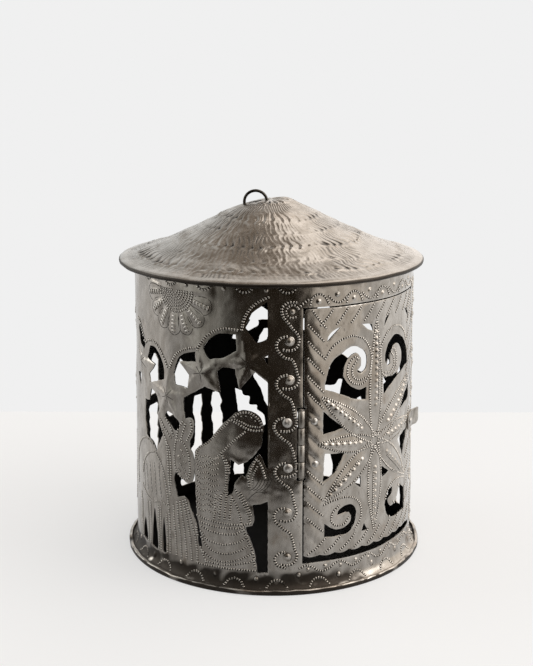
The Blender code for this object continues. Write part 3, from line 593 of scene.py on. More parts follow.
def vertices(obj: Object) -> Array:
    """Where an object's vertices are, one row each."""
    flat = np.empty(len(obj.data.vertices) * 3, np.float32)
    obj.data.vertices.foreach_get("co", flat)
    return flat.reshape(-1, 3)


def set_wear_and_shading(obj: Object, values: Array) -> None:
    """Writes the vertex attribute that the steel finishes read: abrasion and stains together with painted
    highlights and painted shade.
    """
    attribute = obj.data.attributes.new("wear_and_shading", "FLOAT", "POINT")
    attribute.data.foreach_set("value", np.asarray(values, np.float32))


def on_metal(loops: list[Outline], spots: Array) -> Array:
    """Which spots lie inside an odd number of outlines."""
    odd = np.zeros(len(spots), bool)
    for loop in loops:
        ring = np.array(loop)
        low, high = ring.min(axis=0), ring.max(axis=0)
        near = ((spots >= low) & (spots <= high)).all(axis=1)
        index = np.nonzero(near)[0]
        x, y = spots[index, 0], spots[index, 1]
        inside = np.zeros(len(index), bool)
        for start, end in zip(ring, np.roll(ring, -1, axis=0)):
            if start[1] == end[1]:
                continue
            spans = (start[1] > y) != (end[1] > y)
            edge = start[0] + (y - start[1]) / (end[1] - start[1]) * (end[0] - start[0])
            inside ^= spans & (x < edge)
        odd[index] ^= inside
    return odd


def clean(x: Array, y: Array) -> Array:
    """No stains and no painted shade anywhere."""
    return np.zeros_like(x)


@dataclass
class PiercedSheet:
    """A cut sheet, worked in relief and rolled, with a finished outer face and an inner one in near-black
    painted shade.
    """

    name: str
    loops: list[Outline]
    place: Place
    height: Field
    spacing: Callable[[float], float]
    ridges: list[Run] = field(default_factory=list)
    top: float = 0.0
    thick: float = SHEET_MM
    edge_roll: float = 0.16
    stain_and_shade: Field = clean

    def grid(self) -> list[Point]:
        """Points over the metal, well clear of the cut edges."""
        outline = np.array(self.loops[0])
        low, high = outline.min(axis=0), outline.max(axis=0)
        edge = [p for loop in self.loops for p in loop]
        edge += [p for run in self.ridges for p in smooth(run, RIDGE_STEP)]
        tree = KDTree(len(edge))
        for i, (x, y) in enumerate(edge):
            tree.insert((x, y, 0.0), i)
        tree.balance()
        row_step, clearance = 0.866, 0.55
        spots, x, column = [], low[0], 0
        while x < high[0]:
            gap = self.spacing(x)
            rows = int((high[1] - low[1]) / gap)
            shift = 0.5 * gap * (column % 2)
            spots += [(x, low[1] + shift + gap * i) for i in range(rows + 1)]
            x += gap * row_step
            column += 1
        spots = np.array(spots)
        spots = spots[on_metal(self.loops, spots)]
        return plain((x, y) for x, y in spots
                     if tree.find((x, y, 0.0))[2] > clearance * self.spacing(x))

    def build(self, outer: Material, inner: Material) -> Object:
        """Triangulates the flat sheet, raises its relief and rolls it."""
        points, edges = [], []
        for loop in self.loops:
            first = len(points)
            points += loop
            edges += [(first + i, first + (i + 1) % len(loop)) for i in range(len(loop))]
        for run in self.ridges:
            first = len(points)
            fine = [*smooth(run, RIDGE_STEP), tuple(run[-1])]
            points += fine
            edges += [(first + i, first + i + 1) for i in range(len(fine) - 1)]
        rim = sum(len(loop) for loop in self.loops)
        points += self.grid()
        found, _, faces, origins, *_ = delaunay_2d_cdt(
            [Vector(p) for p in points], edges, [], 1, 1e-3)
        flat = np.array([tuple(p) for p in found])
        triangles = np.array([tuple(f) for f in faces])
        triangles = triangles[on_metal(self.loops, flat[triangles].mean(axis=1))]
        a, b, c = (flat[triangles[:, i]] for i in range(3))
        area = (b[:, 0] - a[:, 0]) * (c[:, 1] - a[:, 1]) - (b[:, 1] - a[:, 1]) * (c[:, 0] - a[:, 0])
        triangles[area < 0] = triangles[area < 0][:, ::-1]
        at_edge = np.array([any(i < rim for i in origin) for origin in origins])
        used, index = np.unique(triangles, return_inverse=True)
        triangles = index.reshape(-1, 3)
        flat, at_edge = flat[used], at_edge[used]
        lift = self.height(flat[:, 0], flat[:, 1])
        count = len(flat)
        roll = np.where(at_edge, self.edge_roll, 0.0)
        front = [self.place(x, y, self.top - h + e) for (x, y), h, e in zip(flat, lift, roll)]
        back = [self.place(x, y, self.top + self.thick - h) for (x, y), h in zip(flat, lift)]
        directed = {(int(t[i]), int(t[(i + 1) % 3])) for t in triangles for i in range(3)}
        sides = [(b, a, a + count, b + count)
                 for a, b in sorted(directed) if (b, a) not in directed]
        solid = [*triangles.tolist(), *(triangles[:, ::-1] + count).tolist(), *sides]
        obj = mesh_object(self.name, [*front, *back], solid, [outer, inner], 46.0)
        index = np.zeros(len(obj.data.polygons), np.int32)
        index[len(triangles):2 * len(triangles)] = 1
        obj.data.polygons.foreach_set("material_index", index)
        # Raised relief and cut edges are lightened as rubbing; the wall also passes in stains and painted
        # shade.
        worn_and_shaded = np.clip(lift / 3.0, 0.0, 0.25) + np.where(at_edge, 0.6, 0.0)
        worn_and_shaded += self.stain_and_shade(flat[:, 0], flat[:, 1])
        set_wear_and_shading(obj, np.concatenate([worn_and_shaded, np.zeros(count)]))
        return obj


@dataclass
class PunchWork:
    """The punch marks, bumps and graver lines of one sheet as raised metal."""

    name: str
    chasing: Chasing
    place: Place
    height: Field
    loops: list[Outline]
    seed: int
    stain_and_shade: Field = clean
    sunk: float = 0.22

    def marks(self) -> list[tuple[float, float, float, Punch]]:
        """Where each mark sits, which way its line runs and its punch."""
        draw = np.random.default_rng(self.seed)
        found = []
        for stroke in self.chasing.strokes:
            line = np.array([*smooth(stroke.points, 0.4), stroke.points[-1]], float)
            legs = np.linalg.norm(np.diff(line, axis=0), axis=1)
            along = np.concatenate([[0.0], np.cumsum(legs)])
            count = max(1, int(along[-1] / stroke.punch.value[0]))
            for s in np.linspace(0.0, along[-1], count + 1):
                near = np.clip((s - 0.3, s, s + 0.3), 0.0, along[-1])
                x = np.interp(near, along, line[:, 0])
                y = np.interp(near, along, line[:, 1])
                turn = math.atan2(y[2] - y[0], x[2] - x[0]) + draw.normal(0.0, 0.08)
                shake = draw.normal(0.0, 0.06, 2)
                found.append((float(x[1] + shake[0]), float(y[1] + shake[1]), turn, stroke.punch))
        spots = np.array([(m[0], m[1]) for m in found])
        kept = on_metal(self.loops, spots)
        return [mark for mark, keep in zip(found, kept) if keep]

    def build(self, material: Material) -> Object:
        """Makes one mesh of small closed bumps, each on its own flat dark pad of painted shade."""
        points, faces, wear_and_shading = [], [], []
        for x, y, turn, punch in self.marks():
            self._mark(points, faces, wear_and_shading, (x, y, turn), punch)
        for boss in self.chasing.bosses:
            self._boss(points, faces, wear_and_shading, boss)
        obj = self._rolled(self.name, points, faces, material)
        x, y, _ = np.array(points).T
        set_wear_and_shading(obj, np.array(wear_and_shading) + self.stain_and_shade(x, y))
        return obj

    def _rolled(self, name: str, points: list, faces: list,
                material: Material) -> Object:
        """Lays marks, drawn flat with their height as z, on the worked and rolled sheet."""
        x, y, _ = np.array(points).T
        lift = self.height(x, y)
        solid = [self.place(x, y, -h - z) for (x, y, z), h in zip(points, lift)]
        return mesh_object(name, solid, faces, [material], 62.0)

    def _mark(self, points: list, faces: list, wear_and_shading: list, spot: tuple[float, float, float],
              punch: Punch) -> None:
        """Adds one rib, lightened upward as rubbing and painted highlight, on a flat dark pad that paints
        the shade round it.
        """
        pitch, along, across, top = punch.value
        # Painted shade: a flat pad round the rib, darkened to the full.
        dent = ((0.56 * pitch, 0.50 * across, -self.sunk, -1.0),
                (0.56 * pitch, 0.50 * across, 0.02, -1.0))
        # Painted highlight with rubbing: the rib lightens from its foot to its top.
        rib = ((along / 2, across / 2, -self.sunk, -0.4),
               (0.42 * along, 0.46 * across, 0.62 * top, 0.6),
               (0.20 * along, 0.36 * across, top, 1.0))
        for tiers in (dent, rib):
            self._stack(points, faces, wear_and_shading, spot, tiers)

    @staticmethod
    def _stack(points: list, faces: list, wear_and_shading: list, spot: tuple[float, float, float],
               tiers: Iterable[tuple]) -> None:
        """Adds a closed stack of rectangles: half length, half width, height, and lightness from rubbing
        and painted light, of each.
        """
        x, y, turn = spot
        c, s = math.cos(turn), math.sin(turn)
        first = len(points)
        for u, v, z, worn_and_shaded in tiers:
            for a, b in ((-u, -v), (u, -v), (u, v), (-u, v)):
                points.append((x + a * c - b * s, y + a * s + b * c, z))
                wear_and_shading.append(worn_and_shaded)
        last = first + 4 * (len(tiers) - 1)
        for base in range(first, last, 4):
            faces += ring_faces(base, base + 4, 4)
        faces.append((last, last + 1, last + 2, last + 3))
        faces.append((first + 3, first + 2, first + 1, first))

    def _boss(self, points: list, faces: list, wear_and_shading: list, boss: Boss) -> None:
        """Adds one dome."""
        first = len(points)
        sides = 16
        rings = ((1.32, -self.sunk / boss.height), (1.28, 0.02), (1.02, 0.12), (0.80, 0.42),
                 (0.54, 0.76), (0.27, 0.94))
        # Painted highlight with rubbing on the dome's top, and painted shade in a ring round its foot.
        bright = 0.9 if boss.radius > 1.5 else 0.45
        shades = (0.0, 0.0, -0.25, 0.1, 0.6 * bright, bright)
        for share, up in rings:
            for i in range(sides):
                a = 2 * math.pi * i / sides
                points.append((boss.x + boss.radius * share * math.cos(a),
                               boss.y + boss.radius * share * math.sin(a), boss.height * up))
        points.append((boss.x, boss.y, boss.height))
        top = first + sides * len(rings)
        last = top - sides
        for low in range(first, last, sides):
            faces += ring_faces(low, low + sides, sides)
        faces += [(last + i, last + (i + 1) % sides, top) for i in range(sides)]
        faces.append(tuple(first + i for i in range(sides - 1, -1, -1)))
        for shade in shades:
            wear_and_shading += [shade] * sides
        wear_and_shading.append(bright)

    def build_lines(self, name: str, material: Material) -> Object:
        """Makes the graver lines as one mesh of thin low ridges whose near-black finish is painted shade
        for the shade in traced grooves.
        """
        points, faces = [], []
        half, top = 0.17, 0.04
        for run in self.chasing.lines:
            line = np.array([*smooth(run, 0.9), run[-1]], float)
            ahead = np.gradient(line, axis=0)
            ahead /= np.linalg.norm(ahead, axis=1)[:, None]
            side = np.stack([-ahead[:, 1], ahead[:, 0]], axis=1)
            first = len(points)
            last = len(line) - 1
            for i, (p, q) in enumerate(zip(line, side)):
                w = half * (0.35 if i in (0, last) else 1.0)
                for u, z in ((-w, -self.sunk), (w, -self.sunk), (w, top), (-w, top)):
                    points.append((p[0] + q[0] * u, p[1] + q[1] * u, z))
            for i in range(last):
                faces += ring_faces(first + 4 * i, first + 4 * (i + 1), 4)
            faces.append((first + 3, first + 2, first + 1, first))
            end = first + 4 * last
            faces.append((end, end + 1, end + 2, end + 3))
        return self._rolled(name, points, faces, material)


def lathe(name: str, profile: list[Point], material: Material, sides: int,
          smooth_angle: float = 40.0) -> Object:
    """Turns a closed section of (radius, height) in metres about +Z."""
    points, rings, faces = [], [], []
    for radius, height in profile:
        count = 1 if radius < 1e-7 else sides
        rings.append((len(points), count))
        for i in range(count):
            a = 2 * math.pi * i / sides
            points.append((radius * math.cos(a), radius * math.sin(a), height))
    pairs = list(zip(rings, rings[1:]))
    if rings[0][1] > 1:
        pairs.append((rings[-1], rings[0]))
    for (low, low_count), (high, high_count) in pairs:
        for i in range(sides):
            j = (i + 1) % sides
            face = [low + i % low_count, low + j % low_count, high + j % high_count,
                    high + i % high_count]
            faces.append(tuple(dict.fromkeys(face)))
    return mesh_object(name, points, faces, [material], smooth_angle)


def fit(obj: Object, body: str, slot: Slot, *nodes: str) -> Object:
    """Rides a piece on a body and lets it stand for solids, which it hides."""
    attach(obj, body)
    if nodes:
        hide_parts(*nodes)
    LOG.info("%s rides on %s, %d faces", obj.name, body, len(obj.data.polygons))
    return obj


# The wall


SUN = (-118.0, 165.0)

STARS = [
    # The middle and the five tips of each star in front
    ((-74, 129), [(-77.5, 147), (-62.5, 138), (-63, 119.5), (-80, 114.5), (-90, 130.5)]),
    ((-101, 122), [(-104, 134), (-90.5, 129), (-89.3, 111.5), (-113, 109.5), (-116, 126)]),
    ((-125, 105), [(-124, 121), (-112, 108), (-117, 93), (-133, 93), (-142, 109)]),
    ((-153, 119), [(-151, 127), (-137, 120), (-145, 98), (-158, 108), (-163, 127)]),
]

SKY_CUTS = [
    # Between the cloud edge and the string of stars
    cut([(-63.8, 163), (-68, 160), (-72, 156.5), (-75, 151), (-75.5, 148), (-74, 146)],
        (-69.5, 140.5), (-63.8, 142.5)),
    cut([(-100, 135.5), (-96, 141), (-90, 144.5), (-81, 144.8)], (-80.5, 136), [(-86, 132.5),
        (-90, 131)], (-96, 130), [(-98, 132), (-100, 135.5)]),
    cut([(-105, 133), (-111, 131.5), (-115.5, 129), (-118, 125), (-120, 119)], (-119, 112.5),
        (-110, 112), (-109, 119.5), (-116, 126), (-104.5, 127.5), (-105, 133)),
    cut((-63.8, 134), (-66, 132.5), (-63.8, 129)),
    cut([(-128, 113.5), (-128, 119), (-131, 125), (-137, 130), (-143, 129.5)], (-146, 122),
        (-137, 120), (-144, 113), (-143, 108.5), (-128, 113.5)),
    cut([(-149, 129), (-152, 134), (-158, 139), (-161, 137)], (-157, 128), (-151, 126),
        (-149, 129)),
    cut((-163, 110), (-156, 111), (-158, 103), (-163, 110)),
]

SCENE_CUTS = [
    # Round the kneeling figure, the donkey and the stars over them
    cut((-63.8, 119), (-70.5, 125), (-79, 114.5), (-81.5, 126), (-88, 126.5), (-91.5, 124),
        (-89.5, 112), (-99, 114.5), (-113, 106), (-113, 101), (-112, 94.5), [(-107, 95), (-106, 88),
        (-109, 80), (-106.5, 74), (-106, 65), (-107.5, 59), (-111, 57.5), (-115, 60), (-119, 62)],
        [(-120.5, 58), (-118, 47.5)], [(-112, 49), (-108, 42), (-104.3, 33), (-103.2, 22)],
        (-101, 22), [(-102.3, 32), (-104, 40), (-105.5, 60), (-105.5, 75), (-103, 80), (-97, 84),
        (-90, 93), (-84, 99), (-80, 102.5), (-74, 103.5), (-68, 100), (-65.8, 94)], [(-66.8, 89),
        (-66.9, 85), (-69.5, 80.5), (-74, 75.5), (-79.5, 72.6)], (-83.9, 75.6), [(-84.3, 70),
        (-85.3, 60), (-85.7, 54.3)], [(-82.6, 56.8), (-81.4, 62.4), (-77.9, 66.6), (-75.9, 65.4)],
        [(-73.6, 72), (-68.7, 79), (-65.8, 74.6), (-63.8, 70.4)]),
    cut((-63.8, 52.6), (-63.8, 11), (-69.5, 11), [(-71, 24), (-76, 37)], (-72, 38.5), [(-71, 43),
        (-72, 50)], [(-66, 51.6), (-63.8, 52.6)]),
    cut([(-128, 93), (-119, 86), (-116, 91), (-122, 95), (-126, 96)]),
    cut([(-131, 11.5), (-128, 11.5), (-128.4, 23), (-129.5, 33), (-131, 25)]),
    cut([(-142, 11.5), (-136, 11.5), (-136.8, 24), (-139, 35), (-141.4, 24)]),
    cut([(-156, 11.5), (-149, 11.5), (-150, 19), (-152.5, 25), (-155.3, 19)]),
    cut((-150, 97), (-144, 98), (-142, 105), [(-136, 103), (-133, 96), (-134.5, 91), (-130, 81)],
        (-137, 70), [(-141, 74), (-149, 76)], [(-150.5, 86), (-150, 97)]),
]

FAR_CUTS = [
    # On the far side: beside the palm trunks, as they show through from the front
    cut([(231.8, 70), (228, 70), (225.3, 63.2), (226.5, 59.7), (224.7, 53), (225, 48), (222.8, 40),
        (224.6, 32), (229.6, 31), (231.4, 40), (231.8, 48.5), (233, 53)], [(231.8, 58.5),
        (233, 62.6), (231.8, 70)]),
    cut((245.3, 70), (240, 70), [(239.4, 63.2), (240.6, 57.4), (239.4, 48), (240.6, 41), (240, 35),
        (242.6, 28), (243.5, 20), (243.5, 11)], (256.6, 11), [(257.4, 14), (253, 22), (249.4, 33),
        (246, 38), (245.3, 52.6), (247, 60.3), (245.3, 70)]),
    cut([(193, 55), (196.5, 61), (198.8, 69), (204, 78.5)], [(202.6, 80.6), (196, 77.4), (190, 71),
        (188.4, 63), (193, 55)]),
    cut((216, 71), (211.8, 69), [(210, 65.6), (206.5, 64.4), (206.5, 59), (201.8, 58.5),
        (201.2, 55), (197, 51.5), (196, 45)], [(204, 39), (211, 45), (214, 55), (216, 71)]),
    cut((210.4, 11), (216.8, 11), [(217.3, 16), (214.6, 25), (210.4, 18)], (210.4, 11)),
    cut([(219.5, 16), (225, 17), (226, 26), (220, 25)], (219.5, 16)),
    scalloped(279, 291, 36, 74, 8),
    cut((278, 81), (290.4, 80), [(291, 94), (284, 106), (278.4, 101)], (278, 81)),
    # Among the stars and fronds
    cut([(190, 117), (193.6, 121.5), (200, 125.6), (206, 122), (208, 118)], (206, 116.4),
        [(208.8, 111), (207, 109)], [(200.6, 113), (200.8, 116.2)], (190, 117)),
    cut([(196.8, 110.6), (193.6, 110.4), (190.6, 107), (194.6, 103.4), (201.4, 100)], [(199.4, 106),
        (196.8, 110.6)]),
    cut([(189, 95), (193.4, 94.6), (197.6, 91.4), (189, 89.6)], (189, 95)),
    cut([(210, 107), (213, 104), (217.8, 105), (217.2, 107.8)], (210, 107)),
    cut((248, 85), (250.2, 76), [(256, 74), (261, 79), (262.4, 87), (257, 97)], [(252.4, 92),
        (248, 85)]),
    cut([(263.6, 61), (267.4, 61), (270, 65), (265, 66)], (263.6, 61)),
    cut([(213, 122), (218, 127.4), (226, 128)], [(226, 121), (219, 117)], (213, 122)),
    cut([(230, 128), (238, 126.6), (243, 121)], [(236, 117), (230, 121)], (230, 128)),
    # What shows through the door
    cut([(117, 114), (130, 113), (131, 119), (125, 123)], (117, 114)),
    cut([(143, 112), (147, 116.4), (153, 113.6), (157.4, 107)], [(155.6, 103), (149, 106.6),
        (143, 112)]),
    cut([(123, 90), (127, 87.6), (132, 88), (134, 92), (139.4, 94.4), (144.4, 96.6)], [(141, 101.6),
        (133, 105.6), (125.6, 103), (123, 90)]),
    cut([(143.8, 79.6), (146.8, 79.4), (149.6, 75.2), (157, 74)], [(158, 69), (150, 67.8),
        (145.6, 68.6)], (143.8, 79.6)),
    cut([(127.4, 67.4), (130, 65.4), (132.4, 68.6), (129.6, 71)], (127.4, 67.4)),
    cut([(150.4, 20), (152.8, 27.6), (156.6, 26.4), (157.6, 18), (157, 11)], (151, 11),
        (150.4, 20)),
    cut((129, 11), (135.4, 11), [(131.4, 16.6), (129, 15)], (129, 11)),
    cut([(168.6, 110), (171.6, 110), (171.4, 117.6), (169.2, 117)], (168.6, 110)),
    cut([(151, 124), (157, 129), (163, 124)], [(157, 121), (151, 124)]),
]


@dataclass
class Wall:
    """The drum's pierced sheet: a picture of a kneeling figure, a donkey and stars."""

    drum: Drum
    finishes: Finishes
    door_gap: float = 0.8
    frame_low: float = 16.0
    frame_high: float = 159.3
    star_height: float = 1.3
    palms: tuple[tuple[float, float], ...] = ((97.0, 17.0), (170.0, 17.0), (311.0, 17.0))
    seam_rivets: tuple[float, ...] = (32.0, 70.0, 108.0, 146.0)
    frame_rivets: tuple[Point, ...] = ((-53.5, 97.0), (-53.0, 71.5))
    mounds: tuple[tuple[Point, Point, float], ...] = (
        ((-69.5, 66), (4.5, 9.5), 0.7), ((-77, 87), (8.5, 11.5), 0.55),
        ((-115, 68), (7.0, 10.0), 0.6), ((-96, 62), (9.0, 17.0), 0.4),
        ((-88, 27), (15.0, 11.0), 0.45))

    def outline(self) -> Outline:
        """The sheet's own edge, with the lap tab past the seam."""
        drum = self.drum
        start, end = drum.seam - TURN_MM, drum.seam - drum.gap
        tab = drum.seam + drum.seam_lap
        corners = [(start, 0), (end, 0), (end, drum.seam_low), (tab, drum.seam_low + 2),
                   (tab, drum.seam_high - 2), (end, drum.seam_high), (end, DRAWN_HEIGHT),
                   (start, DRAWN_HEIGHT)]
        return cut(*corners, corners[0], step=2.0)

    def doorway(self) -> Outline:
        """The hole that the door closes, with a notch for the hinge barrel."""
        half = DOOR_HALF + self.door_gap
        barrel = HINGE_X - 2.5
        low, high = HINGE_Y - NOTCH, HINGE_Y + NOTCH
        corners = [(-half, self.frame_low), (half, self.frame_low), (half, self.frame_high),
                   (-half, self.frame_high), (-half, high), (barrel, high), (barrel, low),
                   (-half, low)]
        return cut(*corners, corners[0])

    @staticmethod
    def palm_cuts(x: float, reach: float) -> list[Outline]:
        """Openings round one palm tree: slots beside its trunk and gaps between its fronds."""
        cuts = [
            scalloped(x - 11, x - 4.3, 30, 70, 8),
            scalloped(x + 4.3, x + 10, 30, 72, 8),
            cut([(x - 12, 12), (x - 6, 12), (x - 5.2, 18), (x - 8.5, 25), (x - 12.2, 18)]),
            cut([(x + 5, 12), (x + 13, 12), (x + 12.4, 17), (x + 9, 25), (x + 5.4, 19)]),
        ]
        return cuts + [leaf(x, 86, 9, reach, 6.4, degrees) for degrees in (0, 32, 64, 116, 148, 180)]

    def hidden_cuts(self) -> list[Outline]:
        """The stretch that faces away: palms under stars."""
        cuts = list(FAR_CUTS)
        for x, reach in self.palms:
            cuts += self.palm_cuts(x, reach)
        return [[(x - TURN_MM, y) for x, y in outline] for outline in cuts]

    def height(self, x: Array, y: Array) -> Array:
        """How far the sheet is worked outward, in millimetres."""
        swell = 0.16 * ripple(x, y, 44.0, 3) + 0.075 * ripple(x, y, 15.0, 4)
        total = swell + 0.035 * ripple(x, y, 6.0, 5)
        for middle, tips in STARS:
            total += self._star(x, y, middle, tips)
        total += self._sun(x, y)
        for middle, radii, rise in self.mounds:
            total += self._mound(x, y, middle, radii, rise)
        return total * (unit((y - 1.0) / 6.0) * unit((173.5 - y) / 4.0))

    @staticmethod
    def stain_and_shade(x: Array, y: Array) -> Array:
        """Dirt and painted shade in the foot's bend towards the front and left, painted shadow under the
        roof, and random stains, as negative values.
        """
        # Painted shade with dirt: the foot's bend darkens on the front and left.
        foot = unit((13.5 - y) / 6.5) * unit((4.0 - x) / 40.0)
        foot = foot * (1.28 + 0.50 * ripple(x, y, 6.0, 9))
        # Painted shadow: a dark band under the roof's edge.
        eaves_shadow = unit((y - 168.5) / 4.0)
        return -0.75 * foot - 0.6 * eaves_shadow - 0.25 * unit(ripple(x, y, 18.0, 6))

    @staticmethod
    def _mound(x: Array, y: Array, middle: Point, radii: Point,
               height: float) -> Array:
        """A soft swelling."""
        reach = ((x - middle[0]) / radii[0]) ** 2 + ((y - middle[1]) / radii[1]) ** 2
        return height * unit(1.0 - reach) ** 1.3

    @staticmethod
    def corners(middle: Point, tips: list[Point]) -> list[Point]:
        """A star's tips and the inner corners between them, in turn."""
        centre = np.array(middle)
        arms = sorted((np.array(t) - centre for t in tips), key=lambda v: math.atan2(v[1], v[0]))
        ring = []
        for arm, after in zip(arms, arms[1:] + arms[:1]):
            between = arm / np.linalg.norm(arm) + after / np.linalg.norm(after)
            reach = 0.19 * (np.linalg.norm(arm) + np.linalg.norm(after))
            inner = centre + between / np.linalg.norm(between) * reach
            ring += plain((centre + arm, inner))
        return ring

    def _star(self, x: Array, y: Array, middle: Point,
              tips: list[Point]) -> Array:
        """A five-pointed star with flat facets between its ridges and valleys."""
        rise = np.zeros_like(x)
        ring = [np.array(p) - np.array(middle) for p in self.corners(middle, tips)]
        dx, dy = x - middle[0], y - middle[1]
        for one, two in zip(ring, ring[1:] + ring[:1]):
            area = one[0] * two[1] - one[1] * two[0]
            first = (dx * two[1] - dy * two[0]) / area
            second = (one[0] * dy - one[1] * dx) / area
            inside = (first >= -1e-9) & (second >= -1e-9)
            share = unit(1.0 - first - second)
            rise = np.where(inside, np.maximum(rise, self.star_height * share), rise)
        return rise

    @staticmethod
    def _sun(x: Array, y: Array) -> Array:
        """The half sun under the rim: a domed disc and a ring of petals."""
        dx, dy = x - SUN[0], y - SUN[1]
        r = np.hypot(dx, dy * 1.05)
        angle = np.arctan2(dy, dx)
        petal = np.abs(np.cos((angle + math.radians(94)) * 180 / 25))
        ring = unit(1.0 - ((r - 18.0) / 8.0) ** 2)
        disc = 0.7 * unit(1.0 - (r / 12.0) ** 2)
        return disc + 0.75 * ring * petal**0.8 * (dy < 6.0)

    def chasing(self) -> Chasing:
        """Every punch mark on the wall."""
        work = Chasing()
        self._stile_scroll(work, 1.0)
        self._stile_scroll(work, -1.0)
        self._cloud_edges(work)
        self._sun_marks(work)
        self._figure(work)
        self._donkey(work)
        self._bands(work)
        self._door_frame(work)
        self._palm_marks(work)
        return work

    @staticmethod
    def _stile_scroll(work: Chasing, side: float) -> None:
        """A running scroll of marks that loops round each boss down the stile."""
        spots = [(-51.0, 157.5), (-52.3, 141.5), (-52.3, 120.5), (-53.5, 97.0), (-53.0, 71.5),
                 (-53.5, 46.0), (-53.2, 20.5)]
        for (bx, by), (cx, cy) in zip(spots[1:], [*spots[2:], (-52.4, -2.0)]):
            run = moved(bx, by, (-1.6, 2.6), (-4.6, 2.0), (-7.0, -1.2))
            if cy < 0:
                run += moved(bx, by, (-5.4, -4.8), (-1.6, -6.4))
            else:
                run += [*moved(bx, by, (-6.2, -5.0), (-2.6, -8.8)),
                        ((bx + cx) / 2 + 1.6, (by + cy) / 2),
                        *moved(cx, cy, (4.0, 3.6), (4.9, 0), (3.2, -3.6), (-0.2, -4.9), (-3.4, -4.6))]
            work.stitch(*mirrored(side, run))
        top_x, top_y = spots[0]
        bx, by = spots[1]
        crater = [(top_x + 3.4 * math.cos(a), top_y + 3.4 * math.sin(a))
                  for a in (math.radians(300 - 40 * k) for k in range(8))]
        work.stitch(*mirrored(side, ((-42.5, 163.5), (-45.5, 161.6), (-48.0, 159.4))))
        work.dash(*mirrored(side, crater))
        run = [(-49.0, 162.4), (-52.8, 162.6), (-56.2, 160.0), (-56.4, 156.0), (-54.4, 152.8)]
        run += moved(bx, by, (1.2, 7.2), (4.4, 3.0), (4.9, -0.6), (3.2, -3.9), (-0.2, -5.0),
                     (-3.4, -4.6))
        work.stitch(*mirrored(side, run))
        for i, (bx, by) in enumerate(spots):
            if side < 0 or i not in (3, 4):
                work.boss(side * bx, by, 2.1 if i else 1.2, 0.9 if i else 0.5)

    @staticmethod
    def _cloud_edges(work: Chasing) -> None:
        """The stitched arcs along the lower edge of the sky."""
        work.stitch((-63.5, 165.5), (-68, 163.2), (-72.5, 159.5), (-76, 154), (-77.6, 147.5))
        work.stitch((-80, 147.2), (-85, 147.6), (-90.5, 146.6), (-96, 143.6), (-100.5, 139),
                    (-103.2, 134.5))
        work.stitch((-104.5, 135), (-110.5, 133.8), (-116, 131), (-120, 126.5), (-122.8, 121))
        work.stitch((-125, 121.5), (-128.5, 126.5), (-133, 130.8), (-138, 133), (-144, 132.5),
                    (-148, 130.5))
        work.stitch((-150, 131), (-153, 136), (-158, 141), (-163, 141.5))
        for k in range(8):
            x = -180.0 - 29.75 * k
            work.stitch((x, 141), (x - 6, 145), (x - 14.9, 146.5), (x - 23.7, 145),
                        (x - 29.75, 141))

    @staticmethod
    def _sun_marks(work: Chasing) -> None:
        """The creased stars, and the half sun with its dotted disc and barred petals."""
        for middle, tips in STARS:
            for x, y in Wall.corners(middle, tips)[1::2]:
                work.line(middle, (middle[0] * 0.15 + x * 0.85, middle[1] * 0.15 + y * 0.85))
        cx, cy = SUN
        for radius in (2.0, 3.7, 5.4, 7.1, 8.8, 10.5, 12.2):
            arc = []
            for k in range(15):
                a = math.radians(180 + 12.86 * k)
                arc.append((cx + radius * math.cos(a), cy + radius * 0.95 * math.sin(a)))
            work.dash(*arc, punch=Punch.BEAD if radius > 12 else Punch.DOT)
        for k in range(7):
            a = math.radians(191 + 25 * k)
            out = np.array((math.cos(a), math.sin(a)))
            side = np.array((-out[1], out[0]))
            centre = np.array(SUN)
            edge = [centre + out * r + side * w for r, w in
                    ((12.6, -2.6), (18, -4.6), (22.5, -4.2), (25, 0), (22.5, 4.2), (18, 4.6),
                     (12.6, 2.6))]
            work.line(*plain(edge))
            work.dash(*plain(centre + out * r for r in (14.2, 18, 22.5)), punch=Punch.BAR)

    @staticmethod
    def _figure(work: Chasing) -> None:
        """The veil, robe and hands of the kneeling figure."""
        dash = work.dash
        dash((-82, 99.5), (-78, 102), (-73, 102), (-69, 99), (-66.8, 95.5))
        dash((-83.2, 97.5), (-79, 95.3), (-74.5, 93.2), (-70, 92.4), (-67, 92.8))
        dash((-81.5, 98), (-77.5, 96.6), (-73, 94.8), (-68, 94.4), punch=Punch.DOT)
        dash((-78, 100), (-74, 100.2), (-70.5, 97.8), punch=Punch.FOLD)
        dash((-84.5, 97.2), (-90, 90.8), (-96.5, 83.8), (-102.5, 79.2), (-104.6, 74))
        dash((-76, 91.5), (-80, 88), (-85, 83), (-90, 77.5), (-95, 72.5), (-101, 68.5))
        dash((-88.5, 77), (-86.4, 71), (-86.2, 64), (-87, 57.5), (-90.5, 52), (-95, 48))
        dash((-86.5, 74.5), (-84.9, 70), (-84.8, 62), (-86.2, 55))
        for k in range(11):
            y = 76.0 - 3.1 * k
            dash((-104.3, y), (-101, y - 1.5), (-97.6, y - 0.4), (-94.4, y - 1.7),
                 (-91, y - 0.6), punch=Punch.DOT)
        for x, low in ((-93.5, 40), (-90.4, 41), (-87.5, 41), (-84.6, 41)):
            dash((x + 1.2, 54), (x + 0.6, 48), (x, low))
        dash((-84, 55), (-80.8, 49.5), (-78.6, 43), (-78.2, 39))
        dash((-81, 58), (-77.4, 51.5), (-74.4, 45), (-73.2, 40))
        dash((-78.5, 56.5), (-75, 50), (-72.8, 44.5))
        dash((-104, 40.4), (-97, 38.8), (-88, 38.0), (-80, 38.2), (-73.5, 39.4))
        dash((-104, 37.2), (-97, 36.0), (-88, 35.6), (-80, 36.2), (-77, 37.4))
        dash((-101.5, 34.5), (-96, 32.6), (-88, 32), (-81, 33), (-76.6, 36))
        dash((-101.8, 31.5), (-97.5, 27.2), (-88, 26), (-79, 28.6), (-74.8, 32.5))
